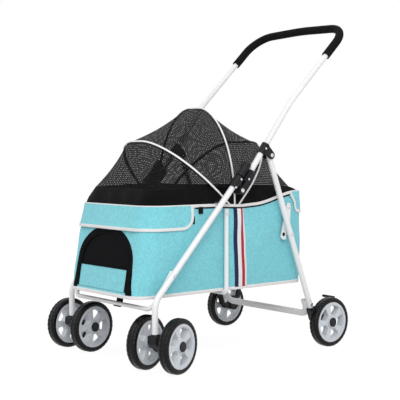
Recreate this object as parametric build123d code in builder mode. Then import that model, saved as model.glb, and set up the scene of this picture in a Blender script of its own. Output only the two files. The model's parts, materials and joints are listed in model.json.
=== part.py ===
"""Four-wheeled folding pet stroller: bent-tube frame, twin casters, fabric basket and mesh canopy.

Millimetres. +Z up, the front faces -Y, left is +X. The origin is on the floor under the middle.
"""

import math
import os

from build123d import *

# Driving dimensions: wheels and axles
RIM_D = 121.0
TYRE_H = 14.5
TYRE_W = 30.0
TYRE_SHOULDER = 9.0
RIM_BARREL = 8.0
RIM_W = 26.0
WEB_T = 20.0
SPOKES = 5
SPOKE_W = 15.0
WINDOW_GAP = 5.0
WINDOW_LIP = 2.0
WINDOW_SHARE = 0.66
WINDOW_R = 4.0
HUB_D = 34.0
AXLE_D = 8.0
CAP_D = 28.0
CAP_H = 3.0
REAR_AXLE_Y = 282.0
WHEEL_ASIDE = 34.0
STEM_Y = -357.0
TRAIL = 31.4
CASTER_WHEEL_X = 52.7
FORK_DROP = 21.0
LEFT_CASTER_ANGLE = 16.1
RIGHT_CASTER_ANGLE = 7.4

# Driving dimensions: tubes and side frames
TUBE_ASIDE = 28.0
TUBE_D = 17.0
TUBE_WALL = 1.5
BAR_D = 12.0
FOLD_Y = -55.6
FOLD_Z = 482.0
LEG_ANGLE = 47.4
LEG_AHEAD = 25.5
LEG_BEND_R = 60.0
FOOT_ABOVE = 31.0
HANDLE_ANGLE = 51.8
HANDLE_STRAIGHT = 326.0
HANDLE_BEND_R = 300.0
GRIP_ANGLE = 44.0
GRIP_START = 209.0
GRIP_REACH = 147.0
GRIP_CORNER_R = 76.0
GRIP_BOW = 12.0
GRIP_BOW_R = 700.0
GRIP_D = 25.5
BRACKET_ALONG = 148.5
BRACKET_BEHIND = 28.0
BRACKET_L = 34.0
BRACKET_WALL = 5.0
AXLE_SETBACK = 29.0
STUD_ALONG = 251.5
STUD_D = 8.0
REAR_BAR_ABOVE = 23.6
REAR_BAR_TALL = 22.0
REAR_BAR_THICK = 12.0
REAR_BAR_UP = 48.0
REAR_BAR_R = 26.0
FRONT_BAR_Y = -356.0
BAR_OVER_WHEEL = 19.0
FRONT_BAR_RISE = 89.0
FRONT_BAR_R = 26.0

# Driving dimensions: moulded hinges
PIN_D = 7.0
RIVET_D = 5.0
RIVET_HEAD_D = 10.0
RIVET_HEAD_H = 2.4
KNUCKLE_D = 29.0
KNUCKLE_DOWN = 12.0
KNUCKLE_UP = 26.0
TONGUE_T = 12.0
TONGUE_R = 12.0
CHEEK_T = 7.0
CHEEK_R = 11.5
BARREL_D = 28.0
BARREL_START = 30.5
BARREL_END = 68.0
LOCK_BARREL_D = 26.0
LOCK_BARREL_START = 32.0
LOCK_BARREL_END = 78.0
TUBE_SEAT = 36.0
SLOT_W = 7.0
SLOT_DEPTH = 7.0
SLOT_START = 36.0
SLOT_L = 36.0
LOCK_TRAVEL = 12.0
LOCK_PROUD = 3.5

# Driving dimensions: brake pedals
PEDAL_BACK = 20.0
PEDAL_UP = 20.0
PEDAL_PIN = 6.0
PEDAL_EYE = 9.0
PEDAL_ARM = 9.0
PEDAL_REACH = 14.0
PEDAL_RISE = 50.0
TREAD_L = 32.0
TREAD_T = 8.0

# Driving dimensions: basket
RIM_Z = 442.0
FLOOR_Z = 197.0
BASKET_HALF_W = 176.0
BASKET_FRONT = -352.0
BASKET_REAR = 216.0
FRONT_LEAN = -42.0
REAR_LEAN = 2.0
SIDE_LEAN = 6.0
RIM_CORNER = 62.0
FLOOR_CORNER = 46.0
REAR_CORNER = 30.0
FABRIC = 3.0
RAIL_D = 10.0
BOARD_T = 4.0
BOARD_GAP = 2.0
MAT_T = 20.0
MAT_MARGIN = 12.0
BAND_H = 42.0
BAND_LEAN = 14.0
BAND_END_LEAN = 26.0
BAND_REAR_LEAN = 16.0
FLAP_T = 2.5
FLAP_GAP = 1.0
FLAP_HANG = 70.0
FLAP_END_Y = -205.0
FLAP_CORNER = 30.0
REAR_FLAP_HANG = 50.0
REAR_FLAP_END_Y = 173.0
CRADLE_Y = -87.0
CRADLE_BELOW = 12.0
CRADLE_D = 12.7
CRADLE_R = 13.0
DOOR_HALF_W = 118.0
DOOR_SILL = 12.0
DOOR_STRAIGHT = 78.0
DOOR_H = 164.0
DOOR_CORNER = 14.0
HOOK_W = 22.0
HOOK_AHEAD = 15.0
HOOK_HOLE_D = 9.0
HOOK_T = 4.0
HOOK_BELOW = 3.0
HOOK_BOLT_DOWN = 12.0
HOOK_LEAD = 12.0

# Driving dimensions: canopy
HOOP_Y = -53.0
HOOP_Z = 421.0
HOOP_T = 2.0
HOOP_W = 5.0
HOOP_STEP = 2.6
HOOP_STAND = 1.2
HOOP_EYE_R = 6.5
HOOP_PIN_D = 6.0
FRONT_HOOP_ANGLE = 136.7
MIDDLE_HOOP_ANGLE = 90.4
REAR_HOOP_ANGLE = 47.3
FRONT_HOOP_H = 293.0
MIDDLE_HOOP_H = 302.0
REAR_HOOP_H = 277.0
MESH_T = 1.5
MESH_GAP = 1.6

# Clearances
RUN = 0.05
SEAT = 0.1
CLEAR = 0.3

SIDES = {"left": 1, "right": -1}
CASTER_TURN = {"left": LEFT_CASTER_ANGLE, "right": RIGHT_CASTER_ANGLE}
HOOP_ANGLES = {"front": FRONT_HOOP_ANGLE, "middle": MIDDLE_HOOP_ANGLE, "rear": REAR_HOOP_ANGLE}
HOOP_HEIGHTS = {"front": FRONT_HOOP_H, "middle": MIDDLE_HOOP_H, "rear": REAR_HOOP_H}
WHEEL_R = RIM_D / 2 + TYRE_H
TUBE_X = BASKET_HALF_W + TUBE_ASIDE
REAR_WHEEL_X = TUBE_X + WHEEL_ASIDE
LEG_FOOT_Z = WHEEL_R + FOOT_ABOVE
FRONT_BAR_Z = 2 * WHEEL_R + BAR_OVER_WHEEL
CRADLE_TOP_Z = RIM_Z - CRADLE_BELOW
HOOK_TOP_Z = RIM_Z - HOOK_BELOW
HOOK_BOLT_Z = HOOK_TOP_Z - HOOK_BOLT_DOWN
TUBE_R = TUBE_D / 2
BAR_R = BAR_D / 2
BAR_X = TUBE_X - TUBE_R - BAR_R - CLEAR
BRACKET_HALF = TUBE_R + BRACKET_WALL


def aim(angle):
    """Unit direction in the side view, measured up from straight back."""
    return Vector(0, math.cos(math.radians(angle)), math.sin(math.radians(angle)))


def square(angle):
    """Unit direction in the side view, square to aim and towards the front and top."""
    return Vector(0, -math.sin(math.radians(angle)), math.cos(math.radians(angle)))


def at_side(point, x):
    """The side-view point moved to width x."""
    return Vector(x, point.Y, point.Z)


def side_plane(point, angle, x):
    """A plane facing +X at a side-view point, with its own x along the angle."""
    return Plane(origin=at_side(point, x), x_dir=aim(angle), z_dir=(1, 0, 0))


def finish(part, name):
    """Name a finished piece and write it to its own file."""
    part.label = name
    export_step(part, f"parts/{name}.step")


# Joint points in the side view
FOLD = Vector(0, FOLD_Y, FOLD_Z)
LEG_TOP = FOLD + square(LEG_ANGLE) * LEG_AHEAD
LEG_CORNER = Vector(0, STEM_Y, LEG_TOP.Z - (LEG_TOP.Y - STEM_Y) * math.tan(math.radians(LEG_ANGLE)))
HANDLE_BEND = FOLD + aim(HANDLE_ANGLE) * HANDLE_STRAIGHT
GRIP_END = HANDLE_BEND + aim(GRIP_ANGLE) * GRIP_START
GRIP_CORNER = GRIP_END + aim(GRIP_ANGLE) * (GRIP_REACH - GRIP_BOW)
GRIP_MIDDLE = GRIP_END + aim(GRIP_ANGLE) * GRIP_REACH
BRACKET = FOLD + aim(HANDLE_ANGLE) * BRACKET_ALONG
REAR_PIVOT = BRACKET - square(HANDLE_ANGLE) * BRACKET_BEHIND
REAR_AXLE = Vector(0, REAR_AXLE_Y, WHEEL_R)
REAR_FOOT = Vector(0, REAR_AXLE_Y - AXLE_SETBACK, WHEEL_R)
REAR_RUN = REAR_FOOT - REAR_PIVOT
REAR_ANGLE = math.degrees(math.atan2(REAR_RUN.Z, REAR_RUN.Y))
REAR_BAR_ALONG = REAR_RUN.length - REAR_BAR_ABOVE
REAR_STUD = REAR_PIVOT + aim(REAR_ANGLE) * STUD_ALONG
FRONT_BAR = Vector(0, FRONT_BAR_Y, FRONT_BAR_Z)
BAR_RIVET = LEG_CORNER + aim(LEG_ANGLE) * FRONT_BAR_RISE


def swept_tube(points, radii, outer, inner):
    """A round tube along straight runs joined by arcs."""
    with BuildPart() as tube:
        with BuildLine() as path:
            FilletPolyline(*points, radius=radii)
        with BuildSketch(Plane(origin=path.line @ 0, z_dir=path.line % 0)):
            Circle(outer)
            if inner > 0:
                Circle(inner, mode=Mode.SUBTRACT)
        sweep()
    return tube.part


def cross_pin(point, x_low, x_high, radius):
    """A plain pin across the frame, from one width to another."""
    with BuildPart() as pin:
        with BuildSketch(Plane.YZ.offset(x_low)):
            with Locations((point.Y, point.Z)):
                Circle(radius)
        extrude(amount=x_high - x_low)
    return pin.part


def domed_head(point, x, out, radius, height):
    """A rivet head on a face at width x, domed on its outer side."""
    with BuildPart() as head:
        with BuildSketch(Plane(origin=at_side(point, x), z_dir=(out, 0, 0))):
            Circle(radius)
        extrude(amount=height)
        fillet(head.faces().sort_by(Axis.X)[-1 if out > 0 else 0].edges(), height * 0.6)
    return head.part


def rivet(point, x_in, x_out):
    """A rivet with a shank from x_in to x_out and a domed head past x_out."""
    out = 1 if x_out > x_in else -1
    shank = cross_pin(point, min(x_in, x_out), max(x_in, x_out), RIVET_D / 2)
    return shank + domed_head(point, x_out, out, RIVET_HEAD_D / 2, RIVET_HEAD_H)


def hinge_pin(point, x, half, heads):
    """A hinge pin through a moulded joint, with a domed head on each side that is named."""
    pin = cross_pin(point, x - half, x + half, PIN_D / 2)
    for out in heads:
        pin += domed_head(point, x + out * half, out, PIN_D * 0.85, RIVET_HEAD_H)
    return pin


# Wheels
with BuildPart() as tyre:
    with BuildSketch(Plane.XZ):
        with BuildLine():
            tread = TYRE_W / 2
            shoulder = WHEEL_R - TYRE_SHOULDER
            bead = RIM_D / 2 + SEAT
            Line((RIM_W / 2, bead), (-RIM_W / 2, bead))
            Line((-RIM_W / 2, bead), (-tread, shoulder))
            ThreePointArc((-tread, shoulder), (0, WHEEL_R), (tread, shoulder))
            Line((tread, shoulder), (RIM_W / 2, bead))
        make_face()
    revolve(axis=Axis.X)

# One of the gaps between the spokes
with BuildSketch() as window:
    with BuildLine():
        high, low = RIM_D / 2 - RIM_BARREL - WINDOW_LIP, HUB_D / 2 + WINDOW_GAP
        half = math.radians(180 / SPOKES)
        wide = half * WINDOW_SHARE
        side = low * math.tan(half) - SPOKE_W / 2
        l_in = Line((low, -side), (low, side))
        l_up = Line(l_in @ 1, (high * math.cos(wide), high * math.sin(wide)))
        top = ThreePointArc(l_up @ 1, (high, 0), (high * math.cos(wide), -high * math.sin(wide)))
        Line(top @ 1, l_in @ 0)
    make_face()
    fillet(window.vertices(), WINDOW_R)

with BuildPart() as rim:
    rim_r = RIM_D / 2
    with BuildSketch(Plane.YZ.offset(-RIM_W / 2)):
        Circle(rim_r)
        Circle(rim_r - RIM_BARREL, mode=Mode.SUBTRACT)
    extrude(amount=RIM_W)
    with BuildSketch(Plane.YZ.offset(-WEB_T / 2)):
        Circle(rim_r - RIM_BARREL / 2)
        with PolarLocations(0, SPOKES):
            add(window.sketch, mode=Mode.SUBTRACT)
    extrude(amount=WEB_T)
    with BuildSketch(Plane.YZ.offset(-TYRE_W / 2)):
        Circle(HUB_D / 2)
    extrude(amount=TYRE_W)
    with BuildSketch(Plane.YZ.offset(-TYRE_W / 2)):
        Circle(AXLE_D / 2 + RUN)
    extrude(amount=TYRE_W, mode=Mode.SUBTRACT)


def place_wheel(name, spot):
    """Write one wheel's tyre and rim at its place."""
    finish(tyre.part.moved(spot), f"{name}_tyre")
    finish(rim.part.moved(spot), f"{name}_rim")


# Casters, made straight ahead about the stem and then turned as they stand
FORK_HALF = CASTER_WHEEL_X - TYRE_W / 2 - 2.0
FORK_TOP = LEG_FOOT_Z - 2.0 - CLEAR
STEM_D = 10.0
STEM_TOP = LEG_FOOT_Z + 36.0
with BuildPart() as fork:
    with BuildSketch(Plane.YZ.offset(-TUBE_R - 6.0)):
        with BuildLine():
            Polyline(
                (-TUBE_R - 8.0, FORK_TOP),
                (TUBE_R + 8.0, FORK_TOP),
                (TRAIL + 13.0, WHEEL_R + 8.0),
                (TRAIL + 13.0, WHEEL_R - FORK_DROP),
                (TRAIL - 13.0, WHEEL_R - FORK_DROP),
                (-TUBE_R - 8.0, FORK_TOP - 22.0),
                close=True,
            )
        make_face()
    extrude(amount=2 * (TUBE_R + 6.0))
    fillet(fork.edges().filter_by(Axis.X), 6.0)
    fillet(fork.faces().sort_by(Axis.X)[-1].edges(), 3.0)
    fillet(fork.faces().sort_by(Axis.X)[0].edges(), 3.0)
    with BuildSketch(Plane.YZ.offset(-FORK_HALF)):
        with Locations((TRAIL, WHEEL_R)):
            Circle(13.0)
    extrude(amount=2 * FORK_HALF)
    with BuildSketch(Plane.XY.offset(FORK_TOP - 4.0)):
        Circle(STEM_D / 2)
    extrude(amount=STEM_TOP - FORK_TOP + 4.0)
    with BuildSketch(Plane.YZ.offset(-FORK_HALF)):
        with Locations((TRAIL, WHEEL_R)):
            Circle(AXLE_D / 2 + RUN)
    extrude(amount=2 * FORK_HALF, mode=Mode.SUBTRACT)

CASTER_AXLE_HALF = CASTER_WHEEL_X + TYRE_W / 2 + CLEAR
with BuildPart() as caster_axle:
    with BuildSketch(Plane.YZ.offset(-CASTER_AXLE_HALF)):
        with Locations((TRAIL, WHEEL_R)):
            Circle(AXLE_D / 2)
    extrude(amount=2 * CASTER_AXLE_HALF)
    for out in (1, -1):
        with BuildSketch(Plane(origin=(out * CASTER_AXLE_HALF, TRAIL, WHEEL_R), z_dir=(out, 0, 0))):
            Circle(CAP_D / 2)
        extrude(amount=CAP_H)
    fillet(caster_axle.faces().sort_by(Axis.X)[-1].edges(), CAP_H * 0.6)
    fillet(caster_axle.faces().sort_by(Axis.X)[0].edges(), CAP_H * 0.6)

# Bushes that line the foot of each front leg, with a flange under it
with BuildPart() as bush:
    with BuildSketch(Plane.XY.offset(LEG_FOOT_Z)):
        Circle(TUBE_R - TUBE_WALL - SEAT)
    extrude(amount=STEM_TOP - LEG_FOOT_Z - 4.0)
    with BuildSketch(Plane.XY.offset(LEG_FOOT_Z - 2.0)):
        Circle(TUBE_R + 1.5)
    extrude(amount=2.0)
    with BuildSketch(Plane.XY.offset(LEG_FOOT_Z - 2.0)):
        Circle(STEM_D / 2 + RUN)
    extrude(amount=STEM_TOP, mode=Mode.SUBTRACT)

# The front crossbar's ends run up beside the legs to a rivet
BAR_END = BAR_RIVET + aim(LEG_ANGLE) * 12.0
BAR_RISE = BAR_END - FRONT_BAR


def front_leg(side):
    """A bent front leg, drilled for the crossbar rivet."""
    x = SIDES[side] * TUBE_X
    top = LEG_TOP + aim(LEG_ANGLE) * 2.0
    points = [(x, STEM_Y, LEG_FOOT_Z), at_side(LEG_CORNER, x), at_side(top, x)]
    leg = swept_tube(points, LEG_BEND_R, TUBE_R, TUBE_R - TUBE_WALL)
    return leg - cross_pin(BAR_RIVET, x - TUBE_D, x + TUBE_D, RIVET_D / 2 + RUN)


def leg_knuckle(side):
    """A moulded socket on top of a front leg, with a tongue back to the fold pivot."""
    x = SIDES[side] * TUBE_X
    low = LEG_TOP - aim(LEG_ANGLE) * KNUCKLE_DOWN
    with BuildPart() as knuckle:
        with BuildSketch(side_plane(FOLD, LEG_ANGLE, x)):
            Circle(TONGUE_R)
            with BuildLine():
                Polyline(
                    (-TONGUE_R, 0),
                    (-KNUCKLE_DOWN + 2.0, LEG_AHEAD),
                    (KNUCKLE_UP - 6.0, LEG_AHEAD),
                    (TONGUE_R * 0.7, TONGUE_R * 0.7),
                    (0, 0),
                    close=True,
                )
            make_face()
        extrude(amount=TONGUE_T / 2, both=True)
        with BuildSketch(Plane(origin=at_side(low, x), z_dir=aim(LEG_ANGLE))):
            Circle(KNUCKLE_D / 2)
        extrude(amount=KNUCKLE_DOWN + KNUCKLE_UP)
        fillet(knuckle.edges().filter_by(GeomType.CIRCLE).sort_by(Axis.Z)[-1], 2.0)
        with BuildSketch(Plane(origin=at_side(low, x), z_dir=aim(LEG_ANGLE))):
            Circle(TUBE_R + SEAT)
        extrude(amount=KNUCKLE_DOWN + 2.0 + SEAT, mode=Mode.SUBTRACT)
        with BuildSketch(side_plane(FOLD, LEG_ANGLE, x)):
            Circle(PIN_D / 2 + RUN)
        extrude(amount=TONGUE_T, both=True, mode=Mode.SUBTRACT)
    return knuckle.part


def hinge_housing(side):
    """A moulded double barrel: one holds the handle tube, one the lock, with a fork round the tongue."""
    out = SIDES[side]
    x = out * TUBE_X
    frame = side_plane(FOLD, HANDLE_ANGLE, x)
    inner = TONGUE_T / 2 + CLEAR
    with BuildPart() as housing:
        for x_low in (x - inner - CHEEK_T, x + inner):
            with BuildSketch(side_plane(FOLD, HANDLE_ANGLE, x_low)):
                Circle(CHEEK_R)
                with Locations((BARREL_START, -2.0)):
                    Rectangle(2 * BARREL_START, 16.0)
            extrude(amount=CHEEK_T)
        rear_low = FOLD + aim(HANDLE_ANGLE) * BARREL_START
        with BuildSketch(Plane(origin=at_side(rear_low, x), z_dir=aim(HANDLE_ANGLE))):
            Circle(BARREL_D / 2)
        extrude(amount=BARREL_END - BARREL_START)
        lock_low = FOLD + aim(HANDLE_ANGLE) * LOCK_BARREL_START + square(HANDLE_ANGLE) * (LEG_AHEAD - 2.0)
        with BuildSketch(Plane(origin=at_side(lock_low, x), z_dir=aim(HANDLE_ANGLE))):
            Circle(LOCK_BARREL_D / 2)
        extrude(amount=LOCK_BARREL_END - LOCK_BARREL_START)
        fillet(housing.edges().filter_by(GeomType.CIRCLE).sort_by(Axis.Z)[-1], 3.0)
        tube_low = FOLD + aim(HANDLE_ANGLE) * TUBE_SEAT
        with BuildSketch(Plane(origin=at_side(tube_low, x), z_dir=aim(HANDLE_ANGLE))):
            Circle(TUBE_R + SEAT)
        extrude(amount=BARREL_END, mode=Mode.SUBTRACT)
        with BuildSketch(frame.offset(out * (LOCK_BARREL_D / 2 - SLOT_DEPTH))):
            with Locations((SLOT_START + SLOT_L / 2, LEG_AHEAD / 2)):
                Rectangle(SLOT_L, SLOT_W)
        extrude(amount=out * BARREL_D, mode=Mode.SUBTRACT)
        with BuildSketch(frame):
            Circle(PIN_D / 2 + RUN)
        extrude(amount=BARREL_D, both=True, mode=Mode.SUBTRACT)
    return housing.part


def lock_slider(side):
    """The thumb slide that frees the fold, in the slot between the two barrels."""
    out = SIDES[side]
    x = out * TUBE_X
    frame = side_plane(FOLD, HANDLE_ANGLE, x)
    floor = LOCK_BARREL_D / 2 - SLOT_DEPTH + CLEAR
    length = SLOT_L - LOCK_TRAVEL - 2 * CLEAR
    with BuildPart() as slider:
        with BuildSketch(frame.offset(out * floor)):
            with Locations((SLOT_START + CLEAR + length / 2, LEG_AHEAD / 2)):
                RectangleRounded(length, SLOT_W - 2 * CLEAR, 1.2)
        extrude(amount=out * (SLOT_DEPTH + LOCK_PROUD - CLEAR))
        with BuildSketch(frame.offset(out * (LOCK_BARREL_D / 2 + LOCK_PROUD - 1.0))):
            with GridLocations(5.0, 1.0, 4, 1):
                with Locations((SLOT_START + CLEAR + length / 2, LEG_AHEAD / 2)):
                    Rectangle(1.6, SLOT_W)
        extrude(amount=out * LOCK_PROUD, mode=Mode.SUBTRACT)
    return slider.part


def upper_bracket(side):
    """A moulded clamp on the handle tube whose two cheeks hold the top of the rear leg."""
    x = SIDES[side] * TUBE_X
    ring_r = BRACKET_HALF - 1.0
    inner = TUBE_R + CLEAR
    frame = side_plane(BRACKET, HANDLE_ANGLE, x)
    with BuildPart() as bracket:
        low = BRACKET - aim(HANDLE_ANGLE) * (BRACKET_L / 2)
        with BuildSketch(Plane(origin=at_side(low, x), z_dir=aim(HANDLE_ANGLE))):
            Circle(ring_r)
        extrude(amount=BRACKET_L)
        for x_low in (x - BRACKET_HALF, x + inner):
            with BuildSketch(side_plane(BRACKET, HANDLE_ANGLE, x_low)):
                with Locations((0, -BRACKET_BEHIND)):
                    Circle(CHEEK_R)
                with BuildLine():
                    Polyline(
                        (-BRACKET_L / 2 + 2.0, 0),
                        (BRACKET_L / 2 - 2.0, 0),
                        (CHEEK_R, -BRACKET_BEHIND),
                        (-CHEEK_R, -BRACKET_BEHIND),
                        close=True,
                    )
                make_face()
            extrude(amount=BRACKET_HALF - inner)
        with BuildSketch(Plane(origin=at_side(low, x), z_dir=aim(HANDLE_ANGLE))):
            Circle(TUBE_R + SEAT)
        extrude(amount=BRACKET_L, mode=Mode.SUBTRACT)
        with BuildSketch(frame):
            with Locations((0, -BRACKET_BEHIND)):
                Circle(PIN_D / 2 + RUN)
        extrude(amount=BARREL_D, both=True, mode=Mode.SUBTRACT)
    return bracket.part


def rear_leg(side):
    """A straight rear leg, rounded over at the top, drilled for its pivot, stud and crossbar rivet."""
    x = SIDES[side] * TUBE_X
    top = REAR_PIVOT - aim(REAR_ANGLE) * CHEEK_R * 0.8
    foot = REAR_FOOT - aim(REAR_ANGLE) * 14.0
    with BuildPart() as leg:
        with BuildSketch(Plane(origin=at_side(top, x), z_dir=aim(REAR_ANGLE))):
            Circle(TUBE_R)
            Circle(TUBE_R - TUBE_WALL, mode=Mode.SUBTRACT)
        extrude(amount=(foot - top).length)
        with BuildSketch(side_plane(REAR_PIVOT, REAR_ANGLE, x)):
            Circle(PIN_D / 2 + RUN)
        extrude(amount=TUBE_D, both=True, mode=Mode.SUBTRACT)
    drilled = leg.part
    for spot in (REAR_STUD, rear_rivet_spot()):
        drilled -= cross_pin(spot, x - TUBE_D, x + TUBE_D, RIVET_D / 2 + RUN)
    return drilled


def rear_rivet_spot():
    """Where the rear crossbar's upturned ends are riveted inside the rear legs."""
    return REAR_PIVOT + aim(REAR_ANGLE) * (REAR_BAR_ALONG - REAR_BAR_UP + 12.0)


def rear_crossbar():
    """A flattened tube between the rear legs, with both ends turned up along them."""
    bar_x = TUBE_X - TUBE_R - CLEAR - REAR_BAR_TALL / 2
    low = REAR_PIVOT + aim(REAR_ANGLE) * REAR_BAR_ALONG
    high = REAR_PIVOT + aim(REAR_ANGLE) * (REAR_BAR_ALONG - REAR_BAR_UP)
    points = [at_side(high, bar_x), at_side(low, bar_x), at_side(low, -bar_x), at_side(high, -bar_x)]
    with BuildPart() as bar:
        with BuildLine() as path:
            FilletPolyline(*points, radius=REAR_BAR_R)
        with BuildSketch(Plane(origin=path.line @ 0, x_dir=(1, 0, 0), z_dir=path.line % 0)):
            SlotOverall(REAR_BAR_TALL, REAR_BAR_THICK)
            SlotOverall(REAR_BAR_TALL - 3.0, REAR_BAR_THICK - 3.0, mode=Mode.SUBTRACT)
        sweep()
    return bar.part - cross_pin(rear_rivet_spot(), -TUBE_X, TUBE_X, RIVET_D / 2 + RUN)


BLOCK_HALF = TUBE_R + 5.0
BLOCK_OPEN = 2.0
BOSS_R = 16.0
PEDAL_PIVOT = REAR_AXLE + Vector(0, PEDAL_BACK, PEDAL_UP)


def axle_block(side):
    """A moulded foot that takes the rear leg and carries the axle and the brake pedal behind it."""
    out = SIDES[side]
    x = out * TUBE_X
    up = 42.0
    with BuildPart() as block:
        with BuildSketch(side_plane(REAR_FOOT, REAR_ANGLE, x)):
            with Locations((-up / 2 - 6.0, 0)):
                RectangleRounded(up, 2 * BLOCK_HALF, 5.0)
        extrude(amount=BLOCK_HALF, both=True)
        with BuildSketch(Plane.YZ.offset(x)):
            with BuildLine():
                Polyline(
                    (REAR_FOOT.Y - 18.0, REAR_FOOT.Z + 36.0),
                    (PEDAL_PIVOT.Y, PEDAL_PIVOT.Z + 9.0),
                    (REAR_AXLE.Y + 15.0, REAR_AXLE.Z),
                    (REAR_AXLE.Y, REAR_AXLE.Z - 15.0),
                    (REAR_FOOT.Y - 10.0, REAR_FOOT.Z - 6.0),
                    close=True,
                )
            make_face()
            with Locations((REAR_AXLE.Y, REAR_AXLE.Z)):
                Circle(BOSS_R)
        extrude(amount=BLOCK_HALF - 3.0, both=True)
        hub_gap = REAR_WHEEL_X - TYRE_W / 2 - CLEAR - TUBE_X
        with BuildSketch(Plane(origin=at_side(REAR_AXLE, x), z_dir=(out, 0, 0))):
            Circle(11.0)
        extrude(amount=hub_gap)
        top = REAR_FOOT - aim(REAR_ANGLE) * (up + 20.0)
        with BuildSketch(Plane(origin=at_side(top, x), z_dir=aim(REAR_ANGLE))):
            Circle(TUBE_R + SEAT)
        extrude(amount=up + 6.0 + SEAT, mode=Mode.SUBTRACT)
        with BuildSketch(Plane.YZ.offset(x - out * BLOCK_HALF)):
            with Locations((REAR_AXLE.Y, REAR_AXLE.Z)):
                Circle(AXLE_D / 2 + RUN)
        extrude(amount=out * TUBE_X, mode=Mode.SUBTRACT)
        with BuildSketch(Plane.YZ.offset(x)):
            with Locations((PEDAL_PIVOT.Y, PEDAL_PIVOT.Z)):
                Circle(PEDAL_PIN / 2 + RUN)
        extrude(amount=TUBE_X, both=True, mode=Mode.SUBTRACT)
        slot = PEDAL_EYE + CLEAR
        with BuildSketch(Plane.YZ.offset(x)):
            with Locations((PEDAL_PIVOT.Y - slot, PEDAL_PIVOT.Z - slot)):
                Rectangle(4 * slot, 4 * slot, align=(Align.MIN, Align.MIN))
        extrude(amount=PEDAL_ARM / 2 + CLEAR, both=True, mode=Mode.SUBTRACT)
        with BuildSketch(Plane.YZ.offset(x - out * (TUBE_R - BLOCK_OPEN))):
            with Locations((REAR_AXLE.Y - BOSS_R, REAR_AXLE.Z)):
                Rectangle(8 * BLOCK_HALF, 8 * BLOCK_HALF, align=(Align.MAX, Align.CENTER))
        extrude(amount=-out * BLOCK_HALF, mode=Mode.SUBTRACT)
    return block.part


def brake_pedal(side):
    """A foot pedal hinged in the axle block, with a ribbed tread beside the tyre's top."""
    x = SIDES[side] * TUBE_X
    tread = PEDAL_PIVOT + Vector(0, PEDAL_REACH, PEDAL_RISE)
    with BuildPart() as pedal:
        with BuildSketch(Plane.YZ.offset(x)):
            with Locations((PEDAL_PIVOT.Y, PEDAL_PIVOT.Z)):
                Circle(PEDAL_EYE)
            with BuildLine():
                Polyline(
                    (PEDAL_PIVOT.Y - PEDAL_EYE * 0.8, PEDAL_PIVOT.Z + PEDAL_EYE * 0.3),
                    (tread.Y - PEDAL_ARM / 2, tread.Z),
                    (tread.Y + PEDAL_ARM / 2, tread.Z),
                    (PEDAL_PIVOT.Y + PEDAL_EYE, PEDAL_PIVOT.Z),
                    close=True,
                )
            make_face()
        extrude(amount=PEDAL_ARM / 2, both=True)
        with BuildSketch(Plane.YZ.offset(x)):
            with Locations((tread.Y, tread.Z)):
                RectangleRounded(TREAD_L, TREAD_T, TREAD_T * 0.45, rotation=-12)
        extrude(amount=BLOCK_HALF - 1.0, both=True)
        with BuildSketch(Plane.YZ.offset(x)):
            with Locations((PEDAL_PIVOT.Y, PEDAL_PIVOT.Z)):
                Circle(PEDAL_PIN / 2 + RUN)
        extrude(amount=TUBE_D, both=True, mode=Mode.SUBTRACT)
    return pedal.part


def rear_axle(side):
    """A stub axle through the block and wheel, with a push-on cap outside."""
    out = SIDES[side]
    x_in = out * (TUBE_X - BLOCK_HALF + 3.0)
    x_out = out * (REAR_WHEEL_X + TYRE_W / 2 + CLEAR)
    axle = cross_pin(REAR_AXLE, min(x_in, x_out), max(x_in, x_out), AXLE_D / 2)
    return axle + domed_head(REAR_AXLE, x_out, out, CAP_D / 2, CAP_H)


# Basket sections
RIM_MIDDLE = (BASKET_FRONT + BASKET_REAR) / 2
RIM_LENGTH = BASKET_REAR - BASKET_FRONT
FLOOR_MIDDLE = (BASKET_FRONT + FRONT_LEAN + BASKET_REAR - REAR_LEAN) / 2
FLOOR_LENGTH = RIM_LENGTH - FRONT_LEAN - REAR_LEAN
FLOOR_HALF_W = BASKET_HALF_W - SIDE_LEAN
DOOR_ANGLE = math.degrees(math.atan2(FRONT_LEAN, RIM_Z - FLOOR_Z))
DOOR_FOOT = Vector(
    0,
    BASKET_FRONT + FRONT_LEAN - DOOR_SILL * math.sin(math.radians(DOOR_ANGLE)),
    FLOOR_Z + DOOR_SILL * math.cos(math.radians(DOOR_ANGLE)),
)
DOOR_PLANE = Plane(origin=DOOR_FOOT, x_dir=(1, 0, 0), z_dir=-aim(DOOR_ANGLE))


def door_face(shrink):
    """The arched doorway in the front wall, drawn in by a margin."""
    half = DOOR_HALF_W - shrink
    with BuildSketch() as arch:
        with BuildLine():
            base = Line((-half, shrink), (half, shrink))
            right = Line(base @ 1, (half, DOOR_STRAIGHT))
            rise = DOOR_H - DOOR_STRAIGHT - shrink
            crown = EllipticalCenterArc((0, DOOR_STRAIGHT), half, rise, 0, arc_size=180)
            Line(crown @ 1, base @ 0)
        make_face()
        fillet(arch.vertices().sort_by(Axis.Y)[:2], DOOR_CORNER)
    return arch.sketch


def wall_x(z):
    """Half width of the basket's outside at a height."""
    return BASKET_HALF_W - SIDE_LEAN * (RIM_Z - z) / (RIM_Z - FLOOR_Z)


def rounded_section(z, half, front, rear, front_r, rear_r):
    """A level outline with one corner radius at the front and another at the rear."""
    with BuildSketch(Plane.XY.offset(z)) as section:
        with Locations((0, (front + rear) / 2)):
            Rectangle(2 * half, rear - front)
        fillet(section.vertices().sort_by(Axis.Y)[:2], front_r)
        fillet(section.vertices().sort_by(Axis.Y)[-2:], rear_r)
    return section.sketch


def basket_section(z, grow):
    """The basket's outline at a height, grown outwards by a margin."""
    low = (RIM_Z - z) / (RIM_Z - FLOOR_Z)
    front, rear = BASKET_FRONT + FRONT_LEAN * low, BASKET_REAR - REAR_LEAN * low
    corner = RIM_CORNER + (FLOOR_CORNER - RIM_CORNER) * low
    return rounded_section(z, wall_x(z) + grow, front - grow, rear + grow, corner + grow, REAR_CORNER + grow)


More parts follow.
